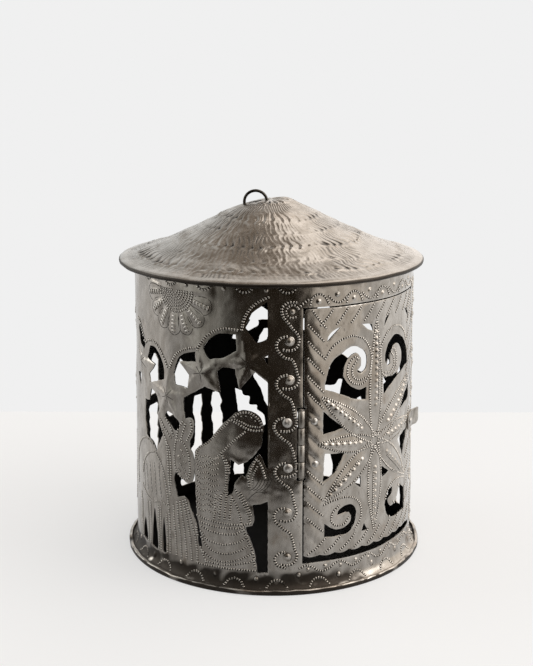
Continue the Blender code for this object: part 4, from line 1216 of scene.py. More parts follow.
        dash((-101.6, 28), (-96.5, 22.2), (-88, 20.4), (-79.5, 23), (-73.4, 27.6))
        dash((-101.2, 20), (-94, 16.2), (-86, 15.8), (-78, 18.6), (-72, 22.4))
        dash((-99, 14.6), (-91, 13.8), (-83, 14.6), (-75, 16.6), (-71.2, 18.4))
        dash((-104, 12), (-92, 12), (-80, 12), (-70.6, 12.2))
        dash((-77.6, 36.6), (-74.6, 30), (-72, 23), (-71, 15))
        dash((-104.6, 36), (-103.8, 28), (-101, 19), (-98.6, 14))
        dash((-111.8, 47.4), (-108.6, 38), (-105.6, 28), (-104.2, 20), (-104, 13))
        dash((-113.5, 46.5), (-110.6, 36), (-108.6, 24), (-107.8, 13))
        dash((-115.8, 45.5), (-113.6, 34), (-112, 22), (-111.6, 13))
        dash((-118, 44.5), (-117, 34), (-115.8, 22), (-115.4, 13))
        dash((-121, 41.5), (-120.4, 32), (-119.4, 22), (-119.2, 13))
        dash((-73.6, 61), (-74, 66.5), (-71.8, 73), (-69.6, 76.2), (-67, 72), (-65.2, 66))
        dash((-71.6, 62.5), (-71.6, 67), (-69.4, 72.4), punch=Punch.DOT)
        for k in range(5):
            x = -71 + 1.7 * k
            work.line((x - 2.4, 58.5), (x, 60.2), (x + 2.0, 63.4), (x + 2.6, 66.0))
        work.line((-75, 52.5), (-72, 56), (-69, 58), (-65.4, 57.5))

    @staticmethod
    def _donkey(work: Chasing) -> None:
        """The donkey: ears, a dotted face, neck, back and legs."""
        dash = work.dash
        dash((-108, 93.6), (-107.2, 88.5), (-110.5, 82))
        dash((-113.6, 92), (-116.8, 87.5), (-118, 82.5))
        dash((-111.6, 91), (-113.4, 86), (-114.6, 82))
        dash((-131.6, 89.5), (-128, 85.6), (-123, 81.2))
        dash((-127, 91.6), (-123.4, 87.6), (-120.8, 83))
        dash((-118.6, 80.5), (-114.6, 80.8), (-111.4, 78), (-109.2, 73), (-108.6, 66),
             (-109.6, 60.6), (-113.4, 59.6), (-117.8, 62.6), (-119.6, 68), (-119.8, 75),
             (-118.6, 80.5))
        for x, y in ((-115.2, 76), (-113.6, 73.4), (-116.6, 71.6), (-112.4, 69.8),
                     (-115.4, 68), (-113, 65.6), (-116.4, 64.4), (-111.4, 62.8)):
            dash((x, y), (x + 0.9, y - 0.5), punch=Punch.DOT)
        work.boss(-116.4, 71.6, 0.9, 0.45)
        work.boss(-115.6, 61.2, 0.7, 0.35)
        dash((-130.2, 84), (-126.8, 77), (-125.2, 68), (-124.4, 58), (-123.2, 48))
        dash((-127.8, 80), (-123.8, 72), (-122.8, 63), (-122.4, 54))
        dash((-136.8, 69), (-131, 63), (-127.4, 55), (-125.6, 46), (-124.8, 36))
        dash((-141, 73), (-149, 74), (-157, 71), (-163, 64), (-166, 54), (-166.4, 42))
        dash((-139.2, 68.6), (-146, 66), (-152, 60), (-155.4, 52))
        for x, top in ((-124.4, 36), (-126.8, 35), (-132.6, 38), (-134.6, 37), (-143.6, 37),
                       (-147.4, 36), (-157.4, 34), (-159.2, 38)):
            dash((x, top), (x + 0.4, 24), (x + 0.2, 12.5))
        dash((-124, 40), (-132, 41), (-140, 38.6), (-148, 40), (-156, 44))
        for k in range(5):
            dash((-134 - 5 * k, 62 - k), (-132.6 - 5 * k, 52), (-131.8 - 5 * k, 45),
                 punch=Punch.FOLD)

    def _bands(self, work: Chasing) -> None:
        """The hanging arcs and rings under the roof, and the arches and bosses along the foot."""
        last, arc_pitch, arch_pitch = self.drum.seam - TURN_MM + 8, 22.6, 22.8
        x = -53.5
        while x > last:
            work.stitch(*moved(x, 0, (-4.8, 170.6), (-2.8, 168.4), (0, 167.6), (2.8, 168.4),
                               (4.8, 170.6)))
            work.boss(x - 11.2, 169.0, 1.1, 0.45)
            x -= arc_pitch
        x = 55.0
        while x > last:
            work.dash((x - 5.4, 3.8), (x - 3.3, 6.6), (x, 7.7), (x + 3.3, 6.6), (x + 5.4, 3.8))
            work.boss(x - 11.0, 8.6 + 1.2 * math.sin(x), 1.35, 0.7)
            x -= arch_pitch

    def _door_frame(self, work: Chasing) -> None:
        """The running waves above and below the door."""
        for k in range(4):
            x = -39.0 + 21.0 * k
            work.dash((x - 2.4, 161), (x - 1.6, 164.4), (x + 2, 166.2), (x + 5.6, 164.6),
                      (x + 7.4, 161.2))
            work.dash((x + 7.8, 164.4), (x + 11.4, 161.6), (x + 15, 161.2), (x + 18, 163.4))
            work.boss(x + 2.2, 162.4, 1.3, 0.6)
            work.boss(x + 12.8, 165.4, 1.3, 0.6)
        for k in range(5):
            x = -43.0 + 19.0 * k
            work.dash(*moved(x, 0, (-3.6, 13.6), (0, 14.8), (3.6, 13.4), (6.6, 11.2),
                             (10.2, 10.6), (13.6, 11.8), (15.2, 13.6)))
            work.boss(x + 0.8, 12.4, 1.0, 0.5)
            work.boss(x + 10.6, 13.2, 1.3, 0.6)

    def _palm_marks(self, work: Chasing) -> None:
        """Marks up the trunks and along the fronds of the palms behind."""
        for middle, reach in self.palms:
            x = middle - TURN_MM
            for k in range(8):
                y = 14 + 8 * k
                work.dash((x - 3.2, y + 2.4), (x, y), (x + 3.2, y + 2.4))
            for degrees in (16, 48, 90, 132, 164):
                a = math.radians(degrees)
                work.dash((x + 6 * math.cos(a), 86 + 6 * math.sin(a)),
                          (x + reach * math.cos(a), 86 + reach * math.sin(a)))
            work.boss(x, 86, 2.2, 1.0)
            work.dash((x - 15, 30), (x - 15.6, 50), (x - 15, 70))
            work.dash((x + 14, 30), (x + 14.6, 50), (x + 14, 70))
            ring = circle(x + 3.5, 134, 4.2, 12)
            work.dash(*ring, ring[0])
            work.boss(x + 3.5, 134, 1.8, 0.9)
        start = self.drum.seam - TURN_MM
        for low in (28.0, 103.0):
            work.dash(*((start + 12 + 6 * k, low + 1.6 * math.sin(k)) for k in range(42)))

    def build(self) -> None:
        """Makes the sheet and its chasing."""
        lap = self.drum.seam + self.drum.seam_lap / 2
        spots = [*self.frame_rivets,
                 *((x, y) for y in self.seam_rivets for x in (lap, lap - TURN_MM))]
        windows = [*SKY_CUTS, *SCENE_CUTS, *self.hidden_cuts()]
        loops = [self.outline(), self.doorway(), *map(hand_cut, windows), *rivet_holes(spots)]
        ridges = [[middle, tuple(0.06 * m + 0.94 * t for m, t in zip(middle, tip))]
                  for middle, tips in STARS for tip in self.corners(middle, tips)]
        sheet = PiercedSheet("pierced_wall", loops, self.drum.on_sheet, self.height,
                             self._spacing, ridges, stain_and_shade=self.stain_and_shade)
        fit(sheet.build(self.finishes.sheet, self.finishes.inside_shade), BODY, Slot.CHASED, "wall_shell")
        work = PunchWork("wall_chasing", self.chasing(), self.drum.on_sheet, self.height, loops, 11,
                         self.stain_and_shade)
        fit(work.build(self.finishes.sheet), BODY, Slot.CHASED)
        fit(work.build_lines("wall_graver_line_shade", self.finishes.line), BODY, Slot.CHASED)

    @staticmethod
    def _spacing(x: float) -> float:
        """Finer where the sheet faces the viewer."""
        return 1.35 if -182.0 < x < 64.0 else 2.5


def hand_cut(outline: Outline) -> Outline:
    """The outline with the small unevenness of a cold chisel."""
    size, reach = 5.0, 0.14
    ring = np.array(outline)
    shake = np.stack([ripple(*ring.T, size, seed) for seed in (21, 22)], axis=1)
    return plain(ring + reach * shake)


# The door


PETALS = [
    # Each petal's tip and half width
    ((0.5, 148), 5.4), ((-35, 110), 6.0), ((-36.5, 83.5), 5.4), ((-33, 51), 6.4),
    ((0, 28), 5.8), ((33, 51), 6.4), ((37, 84.5), 5.6), ((36, 110), 6.2),
]

DOOR_CUTS = [
    # Scroll openings in the corners and gaps between the petals
    cut([(-33, 114), (-33, 117), (-31, 125), (-28, 130), (-23, 133), (-18, 136), (-12, 135),
        (-7.5, 131), (-6.5, 126), (-8, 122), (-11.5, 120.5), (-13.5, 122)], [(-11, 124.5),
        (-11, 129), (-14, 132), (-19, 130), (-22, 124), (-21, 118), (-14, 112), (-6.5, 112)],
        (-7, 105), [(-15, 106.5), (-24, 110.5), (-33, 114)]),
    cut([(-32, 140), (-30, 145), (-24, 147.5)], [(-27, 145), (-32, 140)]),
    cut((-10, 147.5), (-3, 146.5), (-2, 142.5), (-6, 144), (-10, 147.5)),
    cut((-34, 102), (-34, 89), (-22, 91.5), (-34, 102)),
    cut((-33, 78), (-34, 62), [(-27, 67), (-21, 77)], (-33, 78)),
    cut((-14, 58), (-10, 62), (-10, 55), (-14, 58)),
    cut((-33, 38), (-33, 30), [(-20, 30), (-15, 34), (-13, 41), (-15, 45.5), (-19, 47), (-24, 45),
        (-25.5, 42)], [(-21, 42.5), (-17.5, 42), (-17, 37), (-21, 34), (-27, 34), (-33, 38)]),
    cut([(36.4, 117), (35.6, 122), (33, 128), (28.6, 132.6), (23, 136), (17, 136.8), (11.6, 133.6),
        (8.6, 128.6), (8.4, 123.6), (10.4, 120.6), (13.4, 121.4)], [(13, 126), (15, 130.4),
        (19, 131.8), (23.6, 129.6), (26.6, 124.4), (26.2, 119.4), (22.4, 115.6), (15, 114.2),
        (6.4, 114.8)], (7.5, 105), [(12, 108.4), (19, 111.6), (28, 114.4), (36.4, 117)]),
    cut([(7, 143.6), (8.4, 147.8), (12.6, 150.2)], (7, 143.6)),
    cut([(36, 141.5), (34.8, 147), (30, 150)], [(33.4, 146.4), (36, 141.5)]),
    cut((-9.4, 29.2), (-4.8, 29.2), (-7.4, 33.4), (-9.4, 29.2)),
    cut((23, 92), (39, 105), (39.5, 95.4), (23, 92)),
    cut((23, 75), (30, 63), (36.8, 78.4), (23, 75)),
    cut((6, 64), (13, 59), (7, 57), (6, 64)),
    cut([(9, 40), (12, 47), (17, 48.5)], [(17, 45), (12.5, 42), (15, 37.5), (22, 39), (27, 47)],
        (34, 42), (34, 30), [(20, 29.5), (12, 33), (9, 40)]),
]


@dataclass
class Door:
    """The hinged door: a poinsettia with eight creased petals between scrolls."""

    drum: Drum
    finishes: Finishes
    half: float = DOOR_HALF
    low: float = 20.5
    high: float = 158.5
    corner: float = 2.0
    middle: Point = (0.0, 80.0)
    petal_height: float = 1.1
    rivets: tuple[Point, ...] = ((-39.0, 97.0), (-38.5, 73.0), (41.2, 80.5))

    def outline(self) -> Outline:
        """The door's edge: rounded corners above, a notch for the barrel, scallops below."""
        scallops, steps, sag = 10, 8, 1.1
        edge = []
        for i in range(scallops * steps + 1):
            x = -self.half + 2 * self.half * i / (scallops * steps)
            edge.append((x, self.low - sag * abs(math.sin(math.pi * i / steps))))
        barrel = HINGE_X + 2.5
        top, bottom = HINGE_Y + NOTCH, HINGE_Y - NOTCH
        half, high, ease = self.half, self.high, self.corner
        rest = cut((half, self.low), (half, high - ease), [(half - 0.6, high - 0.6), (half - ease, high)],
                   (-half + ease, high), [(-half + 0.6, high - 0.6), (-half, high - ease)],
                   (-half, top), (barrel, top), (barrel, bottom), (-half, bottom), (-half, self.low))
        return edge[:-1] + rest[:-1]

    def height(self, x: Array, y: Array) -> Array:
        """How far the door is worked outward, in millimetres."""
        total = 0.12 * ripple(x, y, 30.0, 31) + 0.05 * ripple(x, y, 9.0, 32)
        best = np.zeros_like(x)
        for tip, half in PETALS:
            arm = np.array(tip) - np.array(self.middle)
            length = float(np.linalg.norm(arm))
            arm = arm / length
            u = ((x - self.middle[0]) * arm[0] + (y - self.middle[1]) * arm[1]) / length
            v = np.abs(-(x - self.middle[0]) * arm[1] + (y - self.middle[1]) * arm[0])
            width = half * np.clip(np.sin(math.pi * unit(0.10 + 0.90 * u)), 0.02, 1)
            rise = unit(1.0 - v / (width + 0.2))
            along = unit(u / 0.35) * unit((1 - u) / 0.25)
            best = np.maximum(best, self.petal_height * rise**0.8 * along * (u > 0))
        start = y - 1.05 * (np.abs(x) - 42.6)
        along = np.where(start > 101.0, (start - 150.0) / 9.25, (start - 89.0) / 9.4)
        side = unit((np.abs(x) - 33.0) / 2.0) * unit((153.0 - y) / 6.0)
        best = best + 0.36 * side * np.abs(np.sin(math.pi * along)) ** 0.7
        fade = unit((self.half - np.abs(x)) / 3.0)
        return (total + best) * (0.3 + 0.7 * fade)

    def chasing(self) -> Chasing:
        """Every punch mark on the door."""
        work = Chasing()
        for tip, half in PETALS:
            self._petal(work, tip, half)
        self._scrolls(work)
        self._border(work)
        return work

    def _petal(self, work: Chasing, tip: Point, half: float) -> None:
        """A petal's marked edges and the row of beads along its middle."""
        middle = np.array(self.middle)
        arm = np.array(tip) - middle
        length = float(np.linalg.norm(arm))
        arm = arm / length
        side = np.array((-arm[1], arm[0]))
        shares = (0.04, 0.16, 0.30, 0.46, 0.62, 0.78, 0.90, 0.985)
        for hand in (-1, 1):
            edge = []
            for u in shares:
                width = (half - 0.9) * math.sin(math.pi * (0.10 + 0.90 * u)) + 0.3
                edge.append(middle + arm * u * length + side * hand * width)
            work.dash(*plain(edge))
        count = int(length * 0.62 / 3.1)
        for k in range(count):
            u = 0.30 + 0.60 * k / (count - 1)
            x, y = middle + arm * u * length
            work.boss(float(x), float(y), 1.30, 0.50)
        pits = [middle + arm * u * length - side * 1.7 for u in (0.34, 0.60, 0.86)]
        work.dash(*plain(pits), punch=Punch.DOT)

    @staticmethod
    def _scrolls(work: Chasing) -> None:
        """Marks inside the four scroll bands."""
        for side in (1.0, -1.0):
            upper = ((-33, 131), (-29, 137), (-23, 140.8), (-16, 141.8), (-9, 139),
                     (-4.6, 133), (-3.4, 126), (-5.2, 118.4), (-10, 114.4), (-16, 115.4),
                     (-19.6, 120), (-19.2, 126), (-15.6, 129.8), (-12.6, 128.4))
            inner = ((-8, 117.2), (-13, 116.8), (-16.6, 120), (-16.4, 124.6), (-14, 127.4))
            lower = ((-33, 49), (-27, 50.8), (-20, 51.4), (-13.4, 49), (-10, 43.4),
                     (-10.4, 37), (-14, 31.4))
            hook = ((-24.4, 47), (-28, 44), (-29, 39.4), (-26.4, 36), (-21.4, 36),
                    (-18.6, 39))
            for run in (upper, inner, lower, hook):
                work.dash(*mirrored(side, run))

    def _border(self, work: Chasing) -> None:
        """The feathered border: slanting lines of marks all round the door."""
        for side in (1.0, -1.0):
            x0, x1 = -42.6, -34.2
            for y in (150, 141, 132, 122, 113, 89, 80, 69, 60, 51, 42):
                drop = 9.0 if y > 90 else 8.0
                run = ((x0, y), (x0 + 3.6, y - 0.45 * drop), (x1, y - drop))
                if not (side > 0 and y in (89, 80)):
                    work.dash(*mirrored(side, run))
            work.dash(*mirrored(side, ((-40, 157), (-37, 153), (-33, 148))))
        for k in range(9):
            x = -33.0 + 9.0 * k
            work.dash((x + 4, 157.2), (x + 1, 153.4), (x - 2.4, 149.6))
        for k in range(9):
            x = -42.0 + 9.4 * k
            work.dash((x, 21.4), (x + 4.6, 24.6), (x + 9.0, 29.0))

    def build(self) -> None:
        """Makes the door's sheet and its chasing."""
        loops = [self.outline(), *map(hand_cut, DOOR_CUTS), *rivet_holes(self.rivets)]
        ridges = [[tuple(0.72 * m + 0.28 * t for m, t in zip(self.middle, tip)),
                   tuple(0.04 * m + 0.96 * t for m, t in zip(self.middle, tip))]
                  for tip, _ in PETALS]
        sheet = PiercedSheet("pierced_door", loops, self.drum.on_wall, self.height,
                             lambda x: 1.05, ridges)
        fit(sheet.build(self.finishes.sheet, self.finishes.inside_shade), DOOR, Slot.CHASED, "door_panel")
        work = PunchWork("door_chasing", self.chasing(), self.drum.on_wall, self.height, loops, 12)
        fit(work.build(self.finishes.sheet), DOOR, Slot.CHASED)


# The roof, the loop and the base


@dataclass
class Roof:
    """The hammered cone: a dished disc with its edge turned under."""

    finishes: Finishes
    radius: float = 87.66
    rise: float = 32.5
    hem: float = 2.2
    hem_width: float = 3.0
    shift: float = 1.5
    bearing: float = -133.5
    rows: tuple[float, ...] = (0.0, 13.0, 31.0, 42.0, 54.5, 66.0, 77.5, 100.0)
    deep: tuple[float, ...] = (0.7, 1.1, 0.45, 1.0, 0.30, 1.0, 0.0)
    line: tuple[Point, ...] = ((0.0, 1.0), (0.07, 0.995), (0.14, 0.955), (0.25, 0.845),
                               (0.41, 0.625), (0.57, 0.42), (0.73, 0.225), (0.87, 0.092),
                               (1.0, 0.0))

    def brim(self) -> float:
        """World height of the brim's upper edge, in millimetres, from the solid's own box."""
        low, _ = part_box("roof_cone")
        return low.z / MM + self.hem

    def centre(self) -> Point:
        """The roof's middle, which sits a little off the drum's."""
        a = math.radians(self.bearing)
        return self.shift * math.sin(a), -self.shift * math.cos(a)

    def surface(self, r: Array) -> Array:
        """Height of the smooth outer face over the brim."""
        knots = np.array(self.line)
        fine = np.linspace(0, 1, 201)
        rough = np.interp(fine, knots[:, 0], knots[:, 1])
        kernel = np.hanning(17)
        padded = np.concatenate([rough[8:0:-1], rough, 2 * rough[-1] - rough[-2:-10:-1]])
        soft = np.convolve(padded, kernel / kernel.sum(), "valid")
        return self.rise * np.interp(r / self.radius, fine, soft)

    def hammer(self, r: Array, angle: Array) -> tuple[Array, Array]:
        """Terraces that end in rows of slanting hammer marks and a zigzag ridge.

        Returns:
            The height in millimetres, and the lightness: rubbing and painted highlight on the lips and
            crests, dirt and painted shade in the grooves and hollows.
        """
        x, y = r * np.cos(angle), r * np.sin(angle)
        rows = np.array(self.rows)
        spot = np.clip(r + 0.9 * ripple(x, y, 34.0, 41) + 0.3 * ripple(x, y, 9.0, 42), 0.0, 99.0)
        index = np.searchsorted(rows, spot, side="right") - 1
        span = rows[index + 1] - rows[index]
        v = (spot - rows[index]) / span
        inset = (1.0 - v) * span
        deep = np.array(self.deep)[index] * (0.84 + 0.50 * ripple(x, y, 24.0, 47))
        pitch = 4.4 + 0.022 * rows[index + 1]
        marks = np.maximum(np.round(2 * math.pi * rows[index + 1] / pitch), 6)
        turn = angle / (2 * math.pi) * marks + 0.37 * index + 0.20 * ripple(x, y, 14.0, 43)
        u = turn + 0.11 * np.abs(inset - 3.0)
        u -= np.floor(u)
        band = unit(inset / 1.2) * unit((10.5 - inset) / 6.0) * deep
        groove = np.exp(-((u - 0.5) / 0.17) ** 2) * band
        ridge = np.exp(-((u - 0.85) / 0.12) ** 2) * band
        zigzag = 1.7 * (np.abs(2 * (turn - np.floor(turn)) - 1) - 0.5)
        lip = np.exp(-((inset - 1.0 + zigzag) / 0.55) ** 2) * deep
        low = np.exp(-((inset - 2.8 + zigzag) / 0.80) ** 2) * deep
        groove_dirt_and_shade = np.clip(0.45 + 0.8 * ripple(x, y, 38.0, 48), 0.12, 1.0)
        terrace = 0.20 * np.sin(math.pi * v**2) * unit(deep)
        spoke = np.abs(np.sin(math.pi * (2 * turn + 0.10 * inset))) ** 0.5
        ring = np.abs(np.sin(math.pi * spot / 2.9)) ** 0.6
        edge = unit((self.radius - 2.6 - r) / 3.0) * unit(r / 6.0)
        calm = 1.0 - unit(band)
        height = terrace - 0.34 * groove + 0.18 * ridge + 0.20 * lip - 0.14 * low
        height = height - (0.20 * spoke + 0.05 * ring) * calm
        # Painted highlight with rubbing on the lips and ridges; painted shade with dirt in the grooves,
        # hollows and spoke dents.
        wear_and_shading = 0.45 * lip + 0.25 * ridge - (0.85 * groove + 0.45 * low) * groove_dirt_and_shade - 0.08
        wear_and_shading = wear_and_shading + (0.45 * (1.0 - spoke) - 0.45 * groove_dirt_and_shade * spoke**2) * calm
        return height * edge + 0.12 * ripple(x, y, 30.0, 44), wear_and_shading * edge

    def crown(self, x: Array, y: Array) -> Array:
        """The crown is beaten flat round the loop and stands a little proud beside it."""
        a = math.radians(self.bearing)
        along = x * math.sin(a) - y * math.cos(a)
        across = x * math.cos(a) + y * math.sin(a)
        dent = np.exp(-(((along - 8.5) / 7.5) ** 2 + (across / 9.0) ** 2))
        proud = np.exp(-(((along + 9.5) / 6.5) ** 2 + (across / 9.0) ** 2))
        return -0.9 * dent + 1.4 * proud

    def build(self) -> Object:
        """Makes the roof as one closed shell."""
        sides, rings = 720, 108
        base = self.brim()
        cx, cy = self.centre()
        angle = np.arange(sides) / sides * 2 * math.pi
        points, counts, wear_and_shading = [], [], []

        def ring_at(r: float, z: Array, worn_and_shaded: Array) -> None:
            """Adds one ring of vertices."""
            counts.append(len(points))
            for a, height, w in zip(angle, z, worn_and_shaded):
                points.append(((cx + r * math.cos(a)) * MM, (cy + r * math.sin(a)) * MM,
                               (base + height) * MM))
                wear_and_shading.append(w)

        inner_radii = np.linspace(2.0, self.radius - self.hem_width, 18)
        none, thick = np.zeros(sides), 0.86
        for r in inner_radii:
            ring_at(r, self.surface(np.full(sides, r)) - thick, none)
        edge = self.radius
        wave = 0.10 * ripple(edge * np.cos(angle), edge * np.sin(angle), 22.0, 45)
        for r, z in ((edge - 2.4, -self.hem), (edge - 0.7, -self.hem), (edge - 0.15, -1.75),
                     (edge, -1.1), (edge - 0.1, -0.5), (edge - 0.5, -0.1)):
            # Painted shade with brown staining: the turned-under hem is darkened, most below its upper
            # edge.
            ring_at(r, z + wave, none + (-0.5 if z > -0.3 else -1.1))
        for r in np.linspace(edge - 1.3, 0.9, rings):
            full = np.full(sides, r)
            mark, worn_and_shaded = self.hammer(full, angle)
            crown = self.crown(r * np.cos(angle), r * np.sin(angle))
            ring_at(float(r), self.surface(full) + mark + crown + wave * (r / edge) ** 4, worn_and_shaded)
        faces = []
        for low, high in zip(counts, counts[1:]):
            faces += ring_faces(low, high, sides)
        faces.append(tuple(range(counts[0] + sides - 1, counts[0] - 1, -1)))
        faces.append(tuple(range(counts[-1], counts[-1] + sides)))
        skin = [self.finishes.roof, self.finishes.inside_shade]
        obj = mesh_object("hammered_roof", points, faces, skin, 60.0)
        index = np.zeros(len(faces), np.int32)
        index[:sides * (len(inner_radii) - 1)] = 1
        index[-2] = 1
        obj.data.polygons.foreach_set("material_index", index)
        set_wear_and_shading(obj, np.array(wear_and_shading))
        return fit(obj, BODY, Slot.HAMMERED, "roof_cone")


@dataclass
class HangingLoop:
    """The wire loop: an arch whose legs pass through the roof and are bent outward under it."""

    roof: Roof
    finishes: Finishes
    wire: float = 1.7
    width: float = 14.6
    stand: float = 6.1
    offset: float = 9.0
    clinch: float = 4.0

    def build(self) -> Object:
        """Makes the wire as a mesh from a bevelled curve."""
        a = math.radians(self.roof.bearing)
        along = Vector((math.sin(a), -math.cos(a), 0))
        cx, cy = self.roof.centre()
        middle = Vector((cx, cy, 0)) + along * self.offset
        half = (self.width - self.wire) / 2
        _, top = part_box("hanging_loop")
        crown = top.z / MM - self.wire / 2
        spring = crown - half * 0.95
        base = self.roof.brim()

        def under(x: float) -> float:
            """The wire's height below the roof."""
            r = abs(self.offset + x)
            return base + float(self.roof.surface(np.array([r]))[0]) - 1.2 - 0.9 * self.wire

        path = [(-half - self.clinch, under(-half - self.clinch)),
                (-half - 0.9, under(-half - 0.9)), (-half, under(-half) + 0.9)]
        path += [(-half * math.cos(math.pi * k / 16),
                  spring + (crown - spring) * math.sin(math.pi * k / 16)) for k in range(17)]
        path += [(half, under(half) + 0.9), (half + 0.9, under(half + 0.9)),
                 (half + self.clinch, under(half + self.clinch))]
        curve = bpy.data.curves.new("wire_loop", "CURVE")
        curve.dimensions = "3D"
        curve.bevel_depth = self.wire / 2 * MM
        curve.bevel_resolution = 5
        curve.use_fill_caps = True
        spline = curve.splines.new("POLY")
        spline.points.add(len(path) - 1)
        for point, (x, z) in zip(spline.points, path):
            spot = (middle + along * x) * MM
            point.co = (spot.x, spot.y, z * MM, 1.0)
        source = new_object("loop_path", curve)
        bpy.context.view_layer.update()
        mesh = bpy.data.meshes.new_from_object(
            source.evaluated_get(bpy.context.evaluated_depsgraph_get()))
        bpy.data.objects.remove(source)
        mesh.materials.clear()
        mesh.materials.append(self.finishes.wire)
        mesh.shade_smooth()
        return fit(new_object("wire_loop", mesh), BODY, Slot.WIRE, "hanging_loop")


@dataclass
class Base:
    """The base: a disc whose edge is folded up and beaten over the foot's flange."""

    finishes: Finishes
    radius: float = 87.3
    lip: float = 1.8
    gap: float = 0.3

    def build(self) -> Object:
        """Makes the base with its beaten rim."""
        sides = 420
        low = 2 * SHEET_MM + 2 * self.gap
        high = low + SHEET_MM
        inner = self.radius - SHEET_MM
        rim = self.radius
        section = [(0.0, 0.0), (rim - 3, 0.0), (rim - 0.7, 0.03), (rim - 0.2, 0.28),
                   (rim, 0.8), (rim, high - 0.8), (rim - 0.2, high - 0.28),
                   (rim - 0.6, high), (rim - self.lip + 0.2, high),
                   (rim - self.lip, high - 0.25), (rim - self.lip, low), (inner, low),
                   (inner, SHEET_MM), (0.0, SHEET_MM)]
        profile = [(r * MM, z * MM) for r, z in section]
        obj = lathe("crimped_base", profile, self.finishes.roof, sides)
        co = vertices(obj)
        r = np.hypot(co[:, 0], co[:, 1]) / MM
        wave = ripple(co[:, 0] / MM, co[:, 1] / MM, 13.0, 51)
        swell = 1.0 + 0.0022 * wave * (r > rim - 2.5) * (co[:, 2] > 0.0005)
        co[:, :2] *= np.minimum(swell, 1.0035)[:, None]
        upper = (r > rim - 2.5) & (co[:, 2] / MM > high - 0.5)
        co[upper, 2] += 0.16 * MM * ripple(co[upper, 0] / MM, co[upper, 1] / MM, 9.0, 52)
        obj.data.vertices.foreach_set("co", co.reshape(-1))
        # Painted shade with brown staining: every face below the rim's top is darkened, the top less; the
        # wave varies it.
        set_wear_and_shading(obj, np.where(co[:, 2] / MM > high - 0.4, -0.15, -0.95) + 0.3 * wave)
        obj.data.materials.append(self.finishes.inside_shade)
        index = np.array([1 if p.center.z > 0.5 * MM and p.normal.z > 0.9
                          and p.center.xy.length < (rim - 2) * MM else 0
                          for p in obj.data.polygons], np.int32)
        obj.data.polygons.foreach_set("material_index", index)
        return fit(obj, BODY, Slot.HAMMERED, "base_plate")


# The hinge, the rivets and the latch


@dataclass
class Hinge:
    """A butt hinge behind the sheets, its barrel standing in the notch."""

    drum: Drum
    finishes: Finishes
    x: float = HINGE_X
    y: float = HINGE_Y
    half: float = 19.043
    barrel: float = 1.9
    pin: float = 0.9
    pin_cap: float = 0.6
    leaf_thick: float = 0.9
    reach: float = 12.0

    def axis(self) -> tuple[Vector, Vector, float]:
        """The barrel's lower end, its direction and its length in metres."""
        depth = SHEET_MM + self.drum.gap + self.leaf_thick - self.barrel
        bottom = self.drum.on_wall(self.x, self.y - self.half, depth)
        top = self.drum.on_wall(self.x, self.y + self.half, depth)
        return bottom, (top - bottom).normalized(), (top - bottom).length

    def stand(self, height: float) -> Matrix:
        """A matrix on the axis, height above its lower end."""
        bottom, up, _ = self.axis()
        turned = up.to_track_quat("Z", "Y").to_matrix().to_4x4()
        return Matrix.Translation(bottom + up * height) @ turned

    def knuckle(self, index: int, name: str) -> Object:
        """One rolled knuckle with eased ends."""
        pitch = self.axis()[2] / 4
        low, high = 0.15 * MM, pitch - 0.15 * MM
        bore, outer, ease = 1.2 * MM, self.barrel * MM, 0.22 * MM
        ring = lathe(name, [(bore, low), (outer - ease, low), (outer, low + ease),
                            (outer, high - ease), (outer - ease, high), (bore, high)],
                     self.finishes.hinge, 40, 50.0)
        ring.data.transform(self.stand(pitch * index))
        return ring

    def leaf_plate(self, name: str, side: int, odd: int, rivets: tuple[Point, ...]) -> Object:
        """The flat part of a leaf, with fingers to its own knuckles."""
        pitch = self.half / 2
        near = self.x + side * (self.barrel + self.drum.gap)
        root = self.x + side * 0.72
        far = self.x + side * self.reach
        edge = [(far, self.y - self.half), (near, self.y - self.half)]
        for i in range(4):
            if i % 2 == odd:
                low = self.y - self.half + i * pitch + 0.15
                high = low + pitch - 0.3
                edge += [(near, low), (root, low), (root, high), (near, high)]
        edge += [(near, self.y + self.half), (far, self.y + self.half)]
        edge = list(dict.fromkeys(edge))
        loops = [edge, *rivet_holes(rivets)]
        sheet = PiercedSheet(name, loops, self.drum.on_wall, lambda x, y: 0.0 * x,
                             lambda x: 2.0, [], SHEET_MM + self.drum.gap, self.leaf_thick, 0.0)
        return sheet.build(self.finishes.hinge, self.finishes.hinge)

    def build(self) -> None:
        """Makes both leaves and the pin."""
        sides = ((-1, 0, BODY, "frame", Wall.frame_rivets), (1, 1, DOOR, "door", Door.rivets[:2]))
        for side, odd, body, label, rivets in sides:
            plate = self.leaf_plate(f"leaf_plate_{label}", side, odd, rivets)
            fit(plate, body, Slot.HINGE, f"hinge_leaf_{label}")
            for i in range(4):
                if i % 2 == odd:
                    fit(self.knuckle(i, f"knuckle_{label}_{i}"), body, Slot.HINGE)
        length = self.axis()[2]
        gap, cap = 0.3 * MM, self.pin_cap * MM
        r, head = self.pin * MM, (self.pin + 0.5) * MM
        pin = lathe("pin_wire", [(0, -gap - cap), (head * 0.7, -gap - cap * 0.9),
                                 (head, -gap - cap * 0.5), (head, -gap), (r, -gap),
                                 (r, length + gap), (head, length + gap),
                                 (head, length + gap + cap * 0.5),
                                 (head * 0.7, length + gap + cap * 0.9),
                                 (0, length + gap + cap)], self.finishes.hinge, 32)
        pin.data.transform(self.stand(0.0))
        fit(pin, BODY, Slot.HINGE, "hinge_pin")


